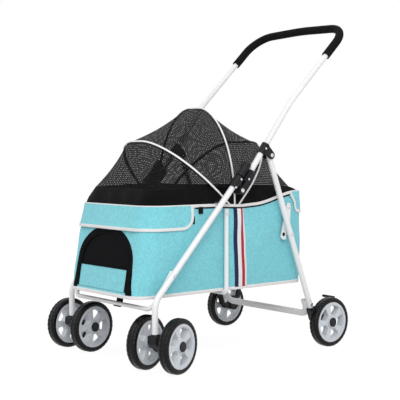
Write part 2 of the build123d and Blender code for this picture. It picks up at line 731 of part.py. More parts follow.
with BuildPart() as basket:
    loft([basket_section(z, 0).face() for z in (FLOOR_Z, RIM_Z)], ruled=True)
    inside = [basket_section(z, -FABRIC).face() for z in (FLOOR_Z + FABRIC, RIM_Z)]
    loft(inside, ruled=True, mode=Mode.SUBTRACT)
    extrude(DOOR_PLANE * door_face(0), amount=3 * FABRIC, both=True, mode=Mode.SUBTRACT)

with BuildPart() as door_panel:
    extrude(DOOR_PLANE * door_face(CLEAR * 2), amount=-FABRIC)

with BuildPart() as floor_board:
    with BuildSketch(Plane.XY.offset(FLOOR_Z + FABRIC)):
        with Locations((0, FLOOR_MIDDLE)):
            inset = FABRIC + BOARD_GAP
            RectangleRounded(2 * (FLOOR_HALF_W - inset), FLOOR_LENGTH - 2 * inset, FLOOR_CORNER - inset)
    extrude(amount=BOARD_T)

with BuildPart() as floor_mat:
    with BuildSketch(Plane.XY.offset(FLOOR_Z + FABRIC + BOARD_T)):
        with Locations((0, FLOOR_MIDDLE)):
            RectangleRounded(2 * (FLOOR_HALF_W - MAT_MARGIN), FLOOR_LENGTH - 2 * MAT_MARGIN, FLOOR_CORNER)
    extrude(amount=MAT_T)
    fillet(floor_mat.faces().sort_by(Axis.Z)[-1].edges(), MAT_T * 0.45)

# Rail round the rim, on the top edge of the fabric
RAIL_Z = RIM_Z + RAIL_D / 2 + SEAT
RAIL_IN = RAIL_D / 2
with BuildPart() as rim_rail:
    with BuildLine() as rail_path:
        rail_half = BASKET_HALF_W - RAIL_IN
        front, rear = BASKET_FRONT + RAIL_IN, BASKET_REAR - RAIL_IN
        FilletPolyline(
            (rail_half, rear, RAIL_Z),
            (-rail_half, rear, RAIL_Z),
            (-rail_half, front, RAIL_Z),
            (rail_half, front, RAIL_Z),
            radius=[REAR_CORNER - RAIL_IN] * 2 + [RIM_CORNER - RAIL_IN] * 2,
            close=True,
        )
    with BuildSketch(Plane(origin=rail_path.line @ 0, z_dir=rail_path.line % 0)):
        Circle(RAIL_D / 2)
    sweep()

BAND_Z = RIM_Z + RAIL_D + 2 * SEAT
BAND_TOP_Z = BAND_Z + BAND_H


def band_section(z, grow):
    """The canopy band's outline at a height: it leans in towards the canopy."""
    up = (z - BAND_Z) / BAND_H
    half = BASKET_HALF_W - BAND_LEAN * up + grow
    front = BASKET_FRONT + BAND_END_LEAN * up - grow
    rear = BASKET_REAR - BAND_REAR_LEAN * up + grow
    return rounded_section(z, half, front, rear, RIM_CORNER + grow, REAR_CORNER + grow)


with BuildPart() as canopy_band:
    for grow, mode in ((0, Mode.ADD), (-FABRIC, Mode.SUBTRACT)):
        loft([band_section(z, grow).face() for z in (BAND_Z, BAND_TOP_Z)], ruled=True, mode=mode)


def flap(hang, y_low, y_high):
    """A fabric flap that hangs outside the rim along part of its length, with rounded lower corners."""
    with BuildPart() as cloth:
        for grow, mode in ((FLAP_GAP + FLAP_T, Mode.ADD), (FLAP_GAP, Mode.SUBTRACT)):
            loft([basket_section(z, grow).face() for z in (RIM_Z - hang, RIM_Z)], ruled=True, mode=mode)
        with BuildSketch(Plane.YZ):
            with Locations(((y_low + y_high) / 2, RIM_Z - hang + FLAP_CORNER / 2 + hang)):
                RectangleRounded(y_high - y_low, 2 * hang + FLAP_CORNER, FLAP_CORNER)
        extrude(amount=2 * BASKET_HALF_W, both=True, mode=Mode.INTERSECT)
    return cloth.part


# Cradle tube under the floor, with posts up both sides of the basket
CRADLE_X = TUBE_X - BRACKET_HALF - 2 * CLEAR - CRADLE_D / 2
CRADLE_Z = FLOOR_Z - CRADLE_D / 2 - CLEAR
CRADLE_RIVET = Vector(0, CRADLE_Y, CRADLE_TOP_Z - 14.0)
RAIL_BRACKET = Vector(
    0, LEG_TOP.Y - (LEG_TOP.Z - RAIL_Z) / math.tan(math.radians(LEG_ANGLE)), RAIL_Z
)


def under_cradle():
    """One bent tube that carries the basket's floor."""
    points = [
        (CRADLE_X, CRADLE_Y, CRADLE_TOP_Z),
        (CRADLE_X, CRADLE_Y, CRADLE_Z),
        (-CRADLE_X, CRADLE_Y, CRADLE_Z),
        (-CRADLE_X, CRADLE_Y, CRADLE_TOP_Z),
    ]
    tube = swept_tube(points, CRADLE_R, CRADLE_D / 2, CRADLE_D / 2 - TUBE_WALL)
    return tube - cross_pin(CRADLE_RIVET, -TUBE_X, TUBE_X, RIVET_D / 2 + RUN)


# Plates at the back of the rail that hook down over the studs on the rear legs
HOOK_X = TUBE_X - TUBE_R - CLEAR - HOOK_T - 4.0
HOOK_BOLT = Vector(0, REAR_STUD.Y + 6.0, HOOK_BOLT_Z)


def rear_hook(side):
    """A flat hook: a strip from the rail bolt to the stud, with a slot open downwards."""
    out = SIDES[side]
    x_low = out * HOOK_X if out > 0 else -HOOK_X - HOOK_T
    slot = STUD_D + 2 * CLEAR
    with BuildPart() as hook:
        with BuildSketch(Plane.YZ.offset(x_low)):
            with BuildLine():
                half = HOOK_W / 2
                low = REAR_STUD.Z - STUD_D / 2 - HOOK_LEAD
                Polyline(
                    (REAR_STUD.Y - half - HOOK_AHEAD, low + 8.0),
                    (REAR_STUD.Y - half - HOOK_AHEAD + 8.0, low),
                    (REAR_STUD.Y + half - 6.0, low),
                    (REAR_STUD.Y + half, low + 6.0),
                    (HOOK_BOLT.Y + half * 0.7, HOOK_TOP_Z - 8.0),
                    (HOOK_BOLT.Y + half * 0.4, HOOK_TOP_Z),
                    (HOOK_BOLT.Y - half * 0.4, HOOK_TOP_Z),
                    (HOOK_BOLT.Y - half * 0.7, HOOK_TOP_Z - 8.0),
                    close=True,
                )
            make_face()
            with Locations((REAR_STUD.Y, REAR_STUD.Z)):
                Circle(slot / 2, mode=Mode.SUBTRACT)
            with BuildLine():
                Polyline(
                    (REAR_STUD.Y - slot / 2, REAR_STUD.Z),
                    (REAR_STUD.Y + slot / 2, REAR_STUD.Z),
                    (REAR_STUD.Y + slot / 2 + 5.0, low - 1.0),
                    (REAR_STUD.Y - slot / 2, low - 1.0),
                    close=True,
                )
            make_face(mode=Mode.SUBTRACT)
            with Locations((HOOK_BOLT.Y, HOOK_BOLT.Z)):
                Circle(RIVET_D / 2 + RUN, mode=Mode.SUBTRACT)
            with Locations((REAR_STUD.Y - HOOK_AHEAD, REAR_STUD.Z)):
                Circle(HOOK_HOLE_D / 2, mode=Mode.SUBTRACT)
        extrude(amount=HOOK_T)
    return hook.part


# Canopy hoops
ARCH_SQUARE = {"front": 0.10, "middle": 0.08, "rear": 0.235}
HOOP_HALF_W = {
    "rear": BASKET_HALF_W + HOOP_STAND + HOOP_T,
    "middle": BASKET_HALF_W + HOOP_STAND + HOOP_T + HOOP_STEP,
    "front": BASKET_HALF_W + HOOP_STAND + HOOP_T + 2 * HOOP_STEP,
}


def hoop_plane(angle):
    """The plane of a hoop: through both pivots, tilted up by an angle from straight back."""
    return Plane(origin=(0, HOOP_Y, HOOP_Z), x_dir=(1, 0, 0), z_dir=square(angle))


def arch_face(half, height, leg, crown, grow, base=0.0):
    """An arch on its own base line: upright legs, quarter-ellipse shoulders and a flat crown."""
    wide, tall = half + grow, height + grow
    with BuildSketch() as arch:
        with BuildLine():
            right = Line((wide, base), (wide, leg))
            turn = EllipticalCenterArc((crown, leg), wide - crown, tall - leg, 0, arc_size=90)
            Line(turn @ 1, (-crown, tall))
            back = EllipticalCenterArc((-crown, leg), wide - crown, tall - leg, 90, arc_size=90)
            left = Line(back @ 1, (-wide, base))
            Line(left @ 1, right @ 0)
        make_face()
    return arch.sketch


def hoop_arch(form, grow, base=0.0):
    """A hoop's outer arch, grown by a margin."""
    half, height = HOOP_HALF_W[form], HOOP_HEIGHTS[form]
    square_off = ARCH_SQUARE[form]
    return arch_face(half, height, square_off * height, square_off * half, grow, base)


def hoop(form):
    """A flat spring strip bent to an arch, with a pivot eye at each end."""
    half = HOOP_HALF_W[form]
    with BuildPart() as strip:
        band = hoop_arch(form, 0) - hoop_arch(form, -HOOP_T)
        extrude(hoop_plane(HOOP_ANGLES[form]) * band, amount=HOOP_W / 2, both=True)
        for x_low in (half - HOOP_T, -half):
            with BuildSketch(Plane.YZ.offset(x_low)):
                with Locations((HOOP_Y, HOOP_Z)):
                    Circle(HOOP_EYE_R)
            extrude(amount=HOOP_T)
        with BuildSketch(Plane.YZ):
            with Locations((HOOP_Y, HOOP_Z)):
                Circle(HOOP_PIN_D / 2 + RUN)
        extrude(amount=TUBE_X, both=True, mode=Mode.SUBTRACT)
    return strip.part


def hoop_pivot(out):
    """A stud on the basket's side that all three hoops turn on."""
    point = Vector(0, HOOP_Y, HOOP_Z)
    wall = wall_x(HOOP_Z + HOOP_EYE_R + 4.0) + SEAT
    tip = HOOP_HALF_W["front"] + CLEAR
    base = HOOP_HALF_W["rear"] - HOOP_T - CLEAR
    plate = cross_pin(point, *sorted((out * wall, out * base)), HOOP_EYE_R + 4.0)
    shank = cross_pin(point, *sorted((out * base, out * tip)), HOOP_PIN_D / 2)
    return plate + shank + domed_head(point, out * tip, out, HOOP_EYE_R, RIVET_HEAD_H)


# Mesh panels, stretched just outside the hoops
MESH_LOW_Z = BAND_TOP_Z + CLEAR
MESH_BASE = 15.0
BAND_ENDS = {"front_rim": BASKET_FRONT + BAND_END_LEAN, "rear_rim": BASKET_REAR - BAND_REAR_LEAN}
BAND_CORNERS = {"front_rim": RIM_CORNER, "rear_rim": REAR_CORNER}


def mesh_edge(edge):
    """One edge of a mesh panel: the band between two arches, on a hoop's plane or the rim's."""
    inner, outer = MESH_GAP, MESH_GAP + MESH_T
    if edge not in BAND_ENDS:
        band = hoop_arch(edge, outer, MESH_BASE) - hoop_arch(edge, inner, MESH_BASE)
        return hoop_plane(HOOP_ANGLES[edge]) * band
    reach = Vector(0, BAND_ENDS[edge] - HOOP_Y, MESH_LOW_Z + FABRIC - HOOP_Z)
    half, height = BASKET_HALF_W - BAND_LEAN, reach.length - outer
    corner = [half, height, height - BAND_CORNERS[edge], half - BAND_CORNERS[edge]]
    band = arch_face(*corner, outer, MESH_BASE) - arch_face(*corner, inner, MESH_BASE)
    return hoop_plane(math.degrees(math.atan2(reach.Z, reach.Y))) * band


def mesh_panel(first, second):
    """A thin mesh panel between two edges, trimmed level above the canopy band."""
    with BuildPart() as panel:
        loft([mesh_edge(first).face(), mesh_edge(second).face()], ruled=True)
        with BuildSketch(Plane.XY.offset(MESH_LOW_Z)):
            Rectangle(4 * BASKET_HALF_W, 2 * RIM_LENGTH)
        extrude(amount=-2 * RIM_Z, mode=Mode.SUBTRACT)
    return panel.part


def handle_path():
    """The corners of the handle's centre line, from one hinge housing over the top to the other."""
    low = FOLD + aim(HANDLE_ANGLE) * (TUBE_SEAT + SEAT)
    up = [low, HANDLE_BEND, GRIP_CORNER]
    return [at_side(p, TUBE_X) for p in up] + [GRIP_MIDDLE] + [at_side(p, -TUBE_X) for p in up[::-1]]


def main():
    """Build every piece and write it."""
    os.makedirs("parts", exist_ok=True)

    # Push handle
    bends = [HANDLE_BEND_R, GRIP_CORNER_R, GRIP_BOW_R, GRIP_CORNER_R, HANDLE_BEND_R]
    finish(swept_tube(handle_path(), bends, TUBE_R, TUBE_R - TUBE_WALL), "handle_tube")
    grip_path = [at_side(GRIP_END, TUBE_X), *handle_path()[2:5], at_side(GRIP_END, -TUBE_X)]
    grip_bends = [GRIP_CORNER_R, GRIP_BOW_R, GRIP_CORNER_R]
    finish(swept_tube(grip_path, grip_bends, GRIP_D / 2, TUBE_R + SEAT), "handle_grip")

    # Pieces that come in pairs
    for side, out in SIDES.items():
        x = out * TUBE_X
        finish(front_leg(side), f"front_leg_{side}")
        finish(leg_knuckle(side), f"leg_knuckle_{side}")
        finish(hinge_housing(side), f"hinge_housing_{side}")
        finish(lock_slider(side), f"lock_slider_{side}")
        finish(rear_leg(side), f"rear_leg_{side}")
        finish(axle_block(side), f"axle_block_{side}")
        finish(brake_pedal(side), f"brake_pedal_{side}")
        place_wheel(f"rear_{side}", Location((out * REAR_WHEEL_X, REAR_AXLE_Y, WHEEL_R)))
        stem = Location((x, STEM_Y, 0), (0, 0, CASTER_TURN[side]))
        finish(fork.part.moved(stem), f"caster_fork_{side}")
        finish(caster_axle.part.moved(stem), f"caster_axle_{side}")
        for which, way in (("outer", out), ("inner", -out)):
            spot = stem * Location((way * CASTER_WHEEL_X, TRAIL, WHEEL_R))
            place_wheel(f"front_{side}_{which}", spot)

    # Crossbars and fasteners
    bar = [at_side(BAR_END, BAR_X), at_side(FRONT_BAR, BAR_X)]
    bar += [at_side(FRONT_BAR, -BAR_X), at_side(BAR_END, -BAR_X)]
    front_bar = swept_tube(bar, FRONT_BAR_R, BAR_R, BAR_R - TUBE_WALL)
    finish(front_bar - cross_pin(BAR_RIVET, -TUBE_X, TUBE_X, RIVET_D / 2 + RUN), "front_crossbar")
    finish(rear_crossbar(), "rear_crossbar")

    group = []
    for out in SIDES.values():
        x = out * TUBE_X
        group.append(rivet(BAR_RIVET, out * (BAR_X - BAR_R), x + out * TUBE_R))
        post_x = CRADLE_X + CRADLE_D / 2
        group.append(rivet(CRADLE_RIVET, out * (wall_x(CRADLE_RIVET.Z) + SEAT), out * post_x))
        group.append(rivet(HOOK_BOLT, out * (wall_x(HOOK_BOLT.Z) + SEAT), out * (HOOK_X + HOOK_T)))
        ends = sorted((out * BASKET_HALF_W, out * (TUBE_X - TUBE_R)))
        group.append(cross_pin(RAIL_BRACKET, *ends, RAIL_D * 0.4))
    finish(Compound(group), "basket_fasteners")

    fork_half = TONGUE_T / 2 + CLEAR + CHEEK_T
    group = [hinge_pin(FOLD, out * TUBE_X, fork_half, (1, -1)) for out in SIDES.values()]
    finish(Compound(group), "fold_pins")

    group = [hinge_pin(REAR_PIVOT, out * TUBE_X, BRACKET_HALF, (out,)) for out in SIDES.values()]
    finish(Compound(group), "rear_leg_pins")

    group = []
    for out in SIDES.values():
        x = out * TUBE_X
        bar_in = TUBE_X - TUBE_R - CLEAR - REAR_BAR_TALL
        group.append(rivet(rear_rivet_spot(), out * bar_in, x + out * TUBE_R))
        stud = cross_pin(REAR_STUD, *sorted((x - out * TUBE_R, out * (HOOK_X - 1.0))), STUD_D / 2)
        group.append(stud + rivet(REAR_STUD, x - out * TUBE_R, x + out * TUBE_R))
        pin_ends = sorted((x - out * (BLOCK_HALF - 3.0), x + out * (BLOCK_HALF - 3.0)))
        group.append(cross_pin(PEDAL_PIVOT, *pin_ends, PEDAL_PIN / 2))
    finish(Compound(group), "rear_fasteners")

    finish(Compound([upper_bracket(side) for side in SIDES]), "upper_brackets")
    finish(Compound([rear_axle(side) for side in SIDES]), "rear_axles")
    finish(Compound([rear_hook(side) for side in SIDES]), "rear_hooks")

    group = [bush.part.moved(Location((out * TUBE_X, STEM_Y, 0))) for out in SIDES.values()]
    finish(Compound(group), "caster_bushes")

    # Basket and canopy
    for name, piece in (
        ("basket", basket),
        ("door_panel", door_panel),
        ("floor_board", floor_board),
        ("floor_mat", floor_mat),
        ("rim_rail", rim_rail),
        ("canopy_band", canopy_band),
    ):
        finish(piece.part, name)
    finish(flap(FLAP_HANG, BASKET_FRONT - RIM_CORNER, FLAP_END_Y), "front_flap")
    finish(flap(REAR_FLAP_HANG, REAR_FLAP_END_Y, BASKET_REAR + RIM_CORNER), "rear_flap")
    finish(under_cradle(), "under_cradle")
    for form in HOOP_ANGLES:
        finish(hoop(form), f"hoop_{form}")
    finish(Compound([hoop_pivot(out) for out in SIDES.values()]), "hoop_pivots")
    finish(mesh_panel("front_rim", "front"), "mesh_front")
    finish(mesh_panel("front", "middle"), "mesh_top")
    finish(mesh_panel("middle", "rear"), "mesh_back")
    finish(mesh_panel("rear", "rear_rim"), "mesh_rear")


main()
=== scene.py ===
"""Dresses the pet stroller: sewn basket and door, flaps, net canopy, tyres, finishes and a pale studio.

Metres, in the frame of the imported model: +Z up, the front faces -Y, left is +X.
"""

from __future__ import annotations

import json
import logging
import math
from dataclasses import dataclass, field
from enum import Enum
from typing import Any, Sequence

import bmesh
import bpy
import numpy as np
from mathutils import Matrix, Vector

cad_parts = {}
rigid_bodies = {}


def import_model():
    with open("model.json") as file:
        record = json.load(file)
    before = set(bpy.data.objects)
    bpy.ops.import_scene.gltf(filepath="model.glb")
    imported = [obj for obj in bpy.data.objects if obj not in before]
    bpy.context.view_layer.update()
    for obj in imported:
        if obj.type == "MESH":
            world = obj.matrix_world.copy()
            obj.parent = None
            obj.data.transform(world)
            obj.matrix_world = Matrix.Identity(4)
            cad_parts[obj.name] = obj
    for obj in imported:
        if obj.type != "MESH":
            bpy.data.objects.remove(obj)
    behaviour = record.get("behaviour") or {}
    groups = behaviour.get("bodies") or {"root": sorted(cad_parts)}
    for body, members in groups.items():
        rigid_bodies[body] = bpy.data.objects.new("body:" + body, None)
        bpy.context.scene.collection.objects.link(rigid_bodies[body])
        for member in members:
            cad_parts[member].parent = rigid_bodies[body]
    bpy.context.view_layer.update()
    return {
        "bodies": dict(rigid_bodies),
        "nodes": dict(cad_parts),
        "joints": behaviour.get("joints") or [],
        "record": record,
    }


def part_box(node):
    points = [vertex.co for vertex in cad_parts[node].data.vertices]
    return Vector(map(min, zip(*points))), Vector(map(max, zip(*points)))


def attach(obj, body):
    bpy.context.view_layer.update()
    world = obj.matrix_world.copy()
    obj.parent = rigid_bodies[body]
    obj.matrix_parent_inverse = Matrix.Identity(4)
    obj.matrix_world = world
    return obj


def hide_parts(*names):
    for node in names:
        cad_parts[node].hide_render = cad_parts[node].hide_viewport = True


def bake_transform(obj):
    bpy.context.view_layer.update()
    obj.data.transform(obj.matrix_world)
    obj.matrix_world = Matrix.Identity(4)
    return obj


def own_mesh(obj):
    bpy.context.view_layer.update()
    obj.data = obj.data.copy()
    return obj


LOG = logging.getLogger("stroller")
Array = np.ndarray
Colour = tuple[float, float, float]
Point = tuple[float, float, float]
TURN = 2.0 * math.pi
ACROSS = np.array([1.0, 0.0, 0.0])
SIDES = ((1, "left"), (-1, "right"))


class Body(str, Enum):
    """The moving groups that pieces ride on."""

    FRAME = "front_frame"
    MIDDLE = "canopy_middle"
    FRONT = "canopy_front"
    DOOR = "door"


class Hold(str, Enum):
    """How a sheet of cloth is held."""

    HUNG = "hung"
    STRETCHED = "stretched"


# Shader maths


class Sock:
    """A shader socket that adds Math nodes when it is used in an expression."""

    def __init__(self, shader: "Shader", socket: Any) -> None:
        """Keep the shader and the socket."""
        self.shader = shader
        self.socket = socket

    def _math(self, operation: str, *values: Any) -> "Sock":
        """One Math node on these values."""
        return self.shader.node("ShaderNodeMath", {"operation": operation}, dict(enumerate(values)))

    def __add__(self, other: Any) -> "Sock":
        """Sum."""
        return self._math("ADD", self, other)

    __radd__ = __add__

    def __mul__(self, other: Any) -> "Sock":
        """Product."""
        return self._math("MULTIPLY", self, other)

    __rmul__ = __mul__

    def __sub__(self, other: Any) -> "Sock":
        """Difference."""
        return self._math("SUBTRACT", self, other)

    def __rsub__(self, other: Any) -> "Sock":
        """Reflected difference."""
        return self._math("SUBTRACT", other, self)

    def __gt__(self, other: Any) -> "Sock":
        """One where greater, else nought."""
        return self._math("GREATER_THAN", self, other)

    def sine(self) -> "Sock":
        """Sine."""
        return self._math("SINE", self)

    def absolute(self) -> "Sock":
        """Absolute value."""
        return self._math("ABSOLUTE", self)

    def larger(self, other: Any) -> "Sock":
        """The larger of two values."""
        return self._math("MAXIMUM", self, other)

    def step(self, low: float, high: float) -> "Sock":
        """A smooth step from nought at low to one at high."""
        return self.shader.node(
            "ShaderNodeMapRange",
            {"interpolation_type": "SMOOTHSTEP"},
            {"Value": self, "From Min": low, "From Max": high},
        )


class Shader:
    """One material's node tree, with a principled surface."""

    def __init__(self, name: str) -> None:
        """Make an empty node material."""
        self.material = bpy.data.materials.new(name)
        self.material.use_nodes = True
        self.tree = self.material.node_tree
        self.tree.nodes.clear()

    @classmethod
    def on(cls, tree: bpy.types.NodeTree) -> "Shader":
        """A shader on a tree that is there already, such as the world's."""
        made = cls.__new__(cls)
        made.material, made.tree = None, tree
        tree.nodes.clear()
        return made

    def node(
        self,
        kind: str,
        settings: dict[str, Any] | None = None,
        inputs: dict[Any, Any] | None = None,
        output: Any = 0,
    ) -> Sock:
        """Add one node.

        Args:
            kind: the node's type.
            settings: properties, set first.
            inputs: values or links by socket name or number.
            output: the socket handed back.

        Returns:
            The chosen output, wrapped.
        """
        made = self.tree.nodes.new(kind)
        for key, value in (settings or {}).items():
            setattr(made, key, value)
        for key, value in (inputs or {}).items():
            if isinstance(value, Sock):
                self.tree.links.new(value.socket, made.inputs[key])
            elif isinstance(value, tuple) and len(value) == 3 and len(made.inputs[key].default_value) == 4:
                made.inputs[key].default_value = (*value, 1.0)
            else:
                made.inputs[key].default_value = value
        outputs = made.outputs
        return Sock(self, outputs[output]) if len(outputs) else Sock(self, None)

    def place(self) -> Sock:
        """Object coordinates."""
        return self.node("ShaderNodeTexCoord", output="Object")

    def cloth_uv(self) -> tuple[Sock, Sock]:
        """The two distances along a piece of cloth, in metres."""
        uv = self.node("ShaderNodeTexCoord", output="UV")
        split = self.node("ShaderNodeSeparateXYZ", None, {0: uv})
        return split, Sock(self, split.socket.node.outputs[1])

    def noise(self, scale: float, detail: float = 2.0) -> Sock:
        """Fractal noise from nought to one, on Object coordinates."""
        return self.node("ShaderNodeTexNoise", None, {"Vector": self.place(), "Scale": scale, "Detail": detail})

    def mix(self, amount: Any, low: Any, high: Any) -> Sock:
        """A colour between two."""
        return self.node("ShaderNodeMix", {"data_type": "RGBA"}, {0: amount, 6: low, 7: high}, 2)

    def bump(self, height: Sock, depth: float, strength: float = 1.0) -> Sock:
        """A bumped normal from a height and its depth in metres."""
        return self.node("ShaderNodeBump", None, {"Height": height, "Distance": depth, "Strength": strength})

    def surface(self, **sockets: Any) -> bpy.types.Material:
        """Finish the material.

        Args:
            sockets: principled inputs, with underscores for spaces.

        Returns:
            The material.
        """
        inputs = {key.replace("_", " "): value for key, value in sockets.items()}
        shaded = self.node("ShaderNodeBsdfPrincipled", None, inputs)
        self.node("ShaderNodeOutputMaterial", None, {"Surface": shaded})
        return self.material


def shade(colour: Colour, factor: float) -> Colour:
    """A colour made darker or lighter by a factor."""
    return tuple(min(1.0, channel * factor) for channel in colour)


# Finishes


@dataclass(frozen=True)
class Paint:
    """Gloss paint on tube: a faint orange peel and a little handling dirt."""

    name: str
    colour: Colour
    rough: float = 0.22
    coat: float = 0.5

    def material(self) -> bpy.types.Material:
        """The paint's material."""
        s = Shader(self.name)
        cloud = s.noise(9.0, 3.0)
        colour = s.mix(cloud.step(0.35, 0.8), shade(self.colour, 0.955), self.colour)
        peel = s.noise(420.0, 1.0)
        return s.surface(
            Base_Color=colour,
            Roughness=cloud * 0.12 + (self.rough - 0.05),
            Coat_Weight=self.coat,
            Coat_Roughness=0.08,
            Normal=s.bump(peel, 0.00012, 0.35),
        )


@dataclass(frozen=True)
class Moulded:
    """Moulded plastic: fine spark grain, with scuffs that are paler and rougher."""

    name: str
    colour: Colour
    rough: float = 0.42
    grain: float = 0.00012
    scuff: float = 1.5
    shine: float = 0.3

    def material(self) -> bpy.types.Material:
        """The plastic's material."""
        s = Shader(self.name)
        cloud = s.noise(28.0, 4.0)
        worn = cloud.step(0.52, 0.78)
        fine = s.noise(1500.0, 2.0)
        return s.surface(
            Base_Color=s.mix(worn, self.colour, shade(self.colour, self.scuff)),
            Roughness=worn * 0.14 + self.rough,
            Specular_IOR_Level=self.shine,
            Normal=s.bump(fine, self.grain, 0.5),
        )


@dataclass(frozen=True)
class Metal:
    """Plated steel with fine polishing marks."""

    name: str
    colour: Colour
    rough: float = 0.26

    def material(self) -> bpy.types.Material:
        """The metal's material."""
        s = Shader(self.name)
        cloud = s.noise(160.0, 3.0)
        return s.surface(
            Base_Color=s.mix(cloud, shade(self.colour, 0.86), self.colour),
            Metallic=1.0,
            Roughness=cloud * 0.16 + self.rough,
            Normal=s.bump(s.noise(900.0, 1.0), 0.00005, 0.4),
        )


@dataclass(frozen=True)
class Foam:
    """Closed-cell foam or rubber: matt, with pores and a dusty bloom."""

    name: str
    colour: Colour
    rough: float = 0.82
    pore: float = 700.0
    depth: float = 0.0005
    shine: float = 0.12

    def material(self) -> bpy.types.Material:
        """The foam's material."""
        s = Shader(self.name)
        cells = s.node("ShaderNodeTexVoronoi", None, {"Vector": s.place(), "Scale": self.pore})
        bloom = s.noise(24.0, 4.0).step(0.45, 0.8)
        return s.surface(
            Base_Color=s.mix(bloom, self.colour, shade(self.colour, 1.7)),
            Roughness=bloom * 0.1 + self.rough,
            Specular_IOR_Level=self.shine,
            Normal=s.bump(cells, self.depth, 0.6),
        )


@dataclass(frozen=True)
class Canvas:
    """Plain-weave cloth: warp and weft ridges, slubs and a soft sheen."""

    name: str
    colour: Colour
    pitch: float = 0.0011
    rough: float = 0.86
    sheen: float = 0.25
    slub: float = 0.15

    def material(self) -> bpy.types.Material:
        """The cloth's material."""
        s = Shader(self.name)
        u, v = s.cloth_uv()
        turn = TURN / self.pitch
        warp, weft = (u * turn).sine(), (v * turn).sine()
        weave = warp * weft * 0.5 + 0.5
        slubs = s.noise(260.0, 3.0)
        flecks, cloud = s.noise(130.0, 4.0), s.noise(7.0, 3.0)
        tone = (weave * 0.2 + slubs * 0.2 + flecks * 0.7 + cloud * 0.25).step(0.42, 0.95)
        height = weave + slubs * 0.6
        return s.surface(
            Base_Color=s.mix(tone, shade(self.colour, 1 - self.slub), shade(self.colour, 1 + self.slub * 0.6)),
            Roughness=slubs * 0.1 + self.rough - 0.05,
            Specular_IOR_Level=0.05,
            Sheen_Weight=self.sheen,
            Sheen_Roughness=0.5,
            Normal=s.bump(height, 0.00035, 0.55),
        )


@dataclass(frozen=True)
class Net:
    """Knitted net: round holes in staggered rows between dark threads.

    pitch is the repeat along the cloth, and rows times that is the repeat across. hole and edge say where a hole
    begins and how soft its edge is, and drift how uneven the rows are. veil has the opacity of a hole and what a
    thread adds to it.
    """

    name: str
    colour: Colour
    pitch: float = 0.0034
    hole: float = 0.30
    drift: float = 0.5
    rows: float = 1.0
    veil: tuple[float, float] = (0.0, 1.0)
    edge: float = 0.34

    def material(self) -> bpy.types.Material:
        """The net's material."""
        s = Shader(self.name)
        u, v = s.cloth_uv()
        turn = TURN / self.pitch
        uneven = s.noise(75.0, 2.0) * (self.pitch * self.drift)
        holes = ((u + uneven) * turn).sine() * ((v - uneven) * (turn / self.rows)).sine()
        thread = 1 - holes.absolute().step(self.hole, self.hole + self.edge)
        return s.surface(
            Base_Color=s.mix(s.noise(60.0, 3.0), shade(self.colour, 0.7), shade(self.colour, 1.5)),
            Roughness=0.78,
            Specular_IOR_Level=0.05,
            Alpha=thread * self.veil[1] + self.veil[0],
            Normal=s.bump(holes.absolute(), 0.0003, 0.4),
        )


@dataclass(frozen=True)
class Stripes:
    """A woven ribbon with stripes across its width, told by the first cloth distance."""

    name: str
    bands: tuple[tuple[float, Colour], ...]
    ribs: float = 0.0009

    def material(self) -> bpy.types.Material:
        """The ribbon's material."""
        s = Shader(self.name)
        u, v = s.cloth_uv()
        colour: Any = self.bands[0][1]
        for start, tint in self.bands[1:]:
            colour = s.mix(u > start, colour, tint)
        rib = (v * (TURN / self.ribs)).sine() * 0.5 + 0.5
        worn = s.mix(s.noise(300.0, 3.0) * 0.5, colour, (0.75, 0.75, 0.76))
        return s.surface(
            Base_Color=s.mix(0.05, colour, worn),
            Roughness=0.72,
            Specular_IOR_Level=0.15,
            Normal=s.bump(rib, 0.0002, 0.5),
        )


CYAN = (0.222, 0.638, 0.712)
OFF_WHITE = (0.80, 0.775, 0.775)
INK = (0.0052, 0.0048, 0.0054)

WHITE_PAINT = Paint("white_paint", (0.83, 0.83, 0.84), 0.3, 0.15)
SPRING_WHITE = Paint("spring_white", (0.82, 0.81, 0.81), 0.34, 0.2)
BLACK_MOULDING = Moulded("black_moulding", (0.0095, 0.0098, 0.012), 0.36, 0.00012, 1.5, 0.2)
RIM_MOULDING = Moulded("rim_moulding", (0.60, 0.63, 0.67), 0.34, 0.00006, 1.06, 0.5)
PLATED = Metal("plated_steel", (0.74, 0.74, 0.76))
GRIP_FOAM = Foam("grip_foam", (0.0072, 0.007, 0.0072), shine=0.06)
TYRE_RUBBER = Foam("tyre_rubber", (0.0062, 0.0062, 0.007), 0.24, 1600.0, 0.00008, 0.15)
CYAN_CANVAS = Canvas("cyan_canvas", CYAN)
BLACK_CANVAS = Canvas("black_canvas", INK, 0.0009, 0.8, 0.02, 0.3)
PIPING = Canvas("white_piping", OFF_WHITE, 0.0008, 0.7, 0.2, 0.05)
DOOR_TAPE = Canvas("door_tape", (0.0045, 0.0047, 0.0052), 0.0012, 0.8, 0.0, 0.25)
WEBBING = Canvas("black_webbing", (0.0085, 0.0085, 0.01), 0.0016, 0.7, 0.02, 0.3)
CANOPY_NET = Net("canopy_net", (0.009, 0.0088, 0.0095), 0.0104, 0.53, 0.02, 1.25, (0.22, 0.70))
DOOR_NET = Net("door_net", (0.004, 0.0041, 0.0048), 0.0024, 0.93)
MAT_CLOTH = Canvas("mat_cloth", (0.02, 0.02, 0.022), 0.0016, 0.9, 0.3, 0.2)
BOARD = Moulded("floor_board", (0.09, 0.08, 0.07), 0.7, 0.0003, 1.2)
TRICOLOUR = Stripes(
    "tricolour_ribbon",
    (
        (0.0, (0.0075, 0.016, 0.065)),
        (0.0135, (0.80, 0.79, 0.80)),
        (0.0275, (0.42, 0.022, 0.042)),
        (0.0385, (0.80, 0.79, 0.80)),
    ),
)

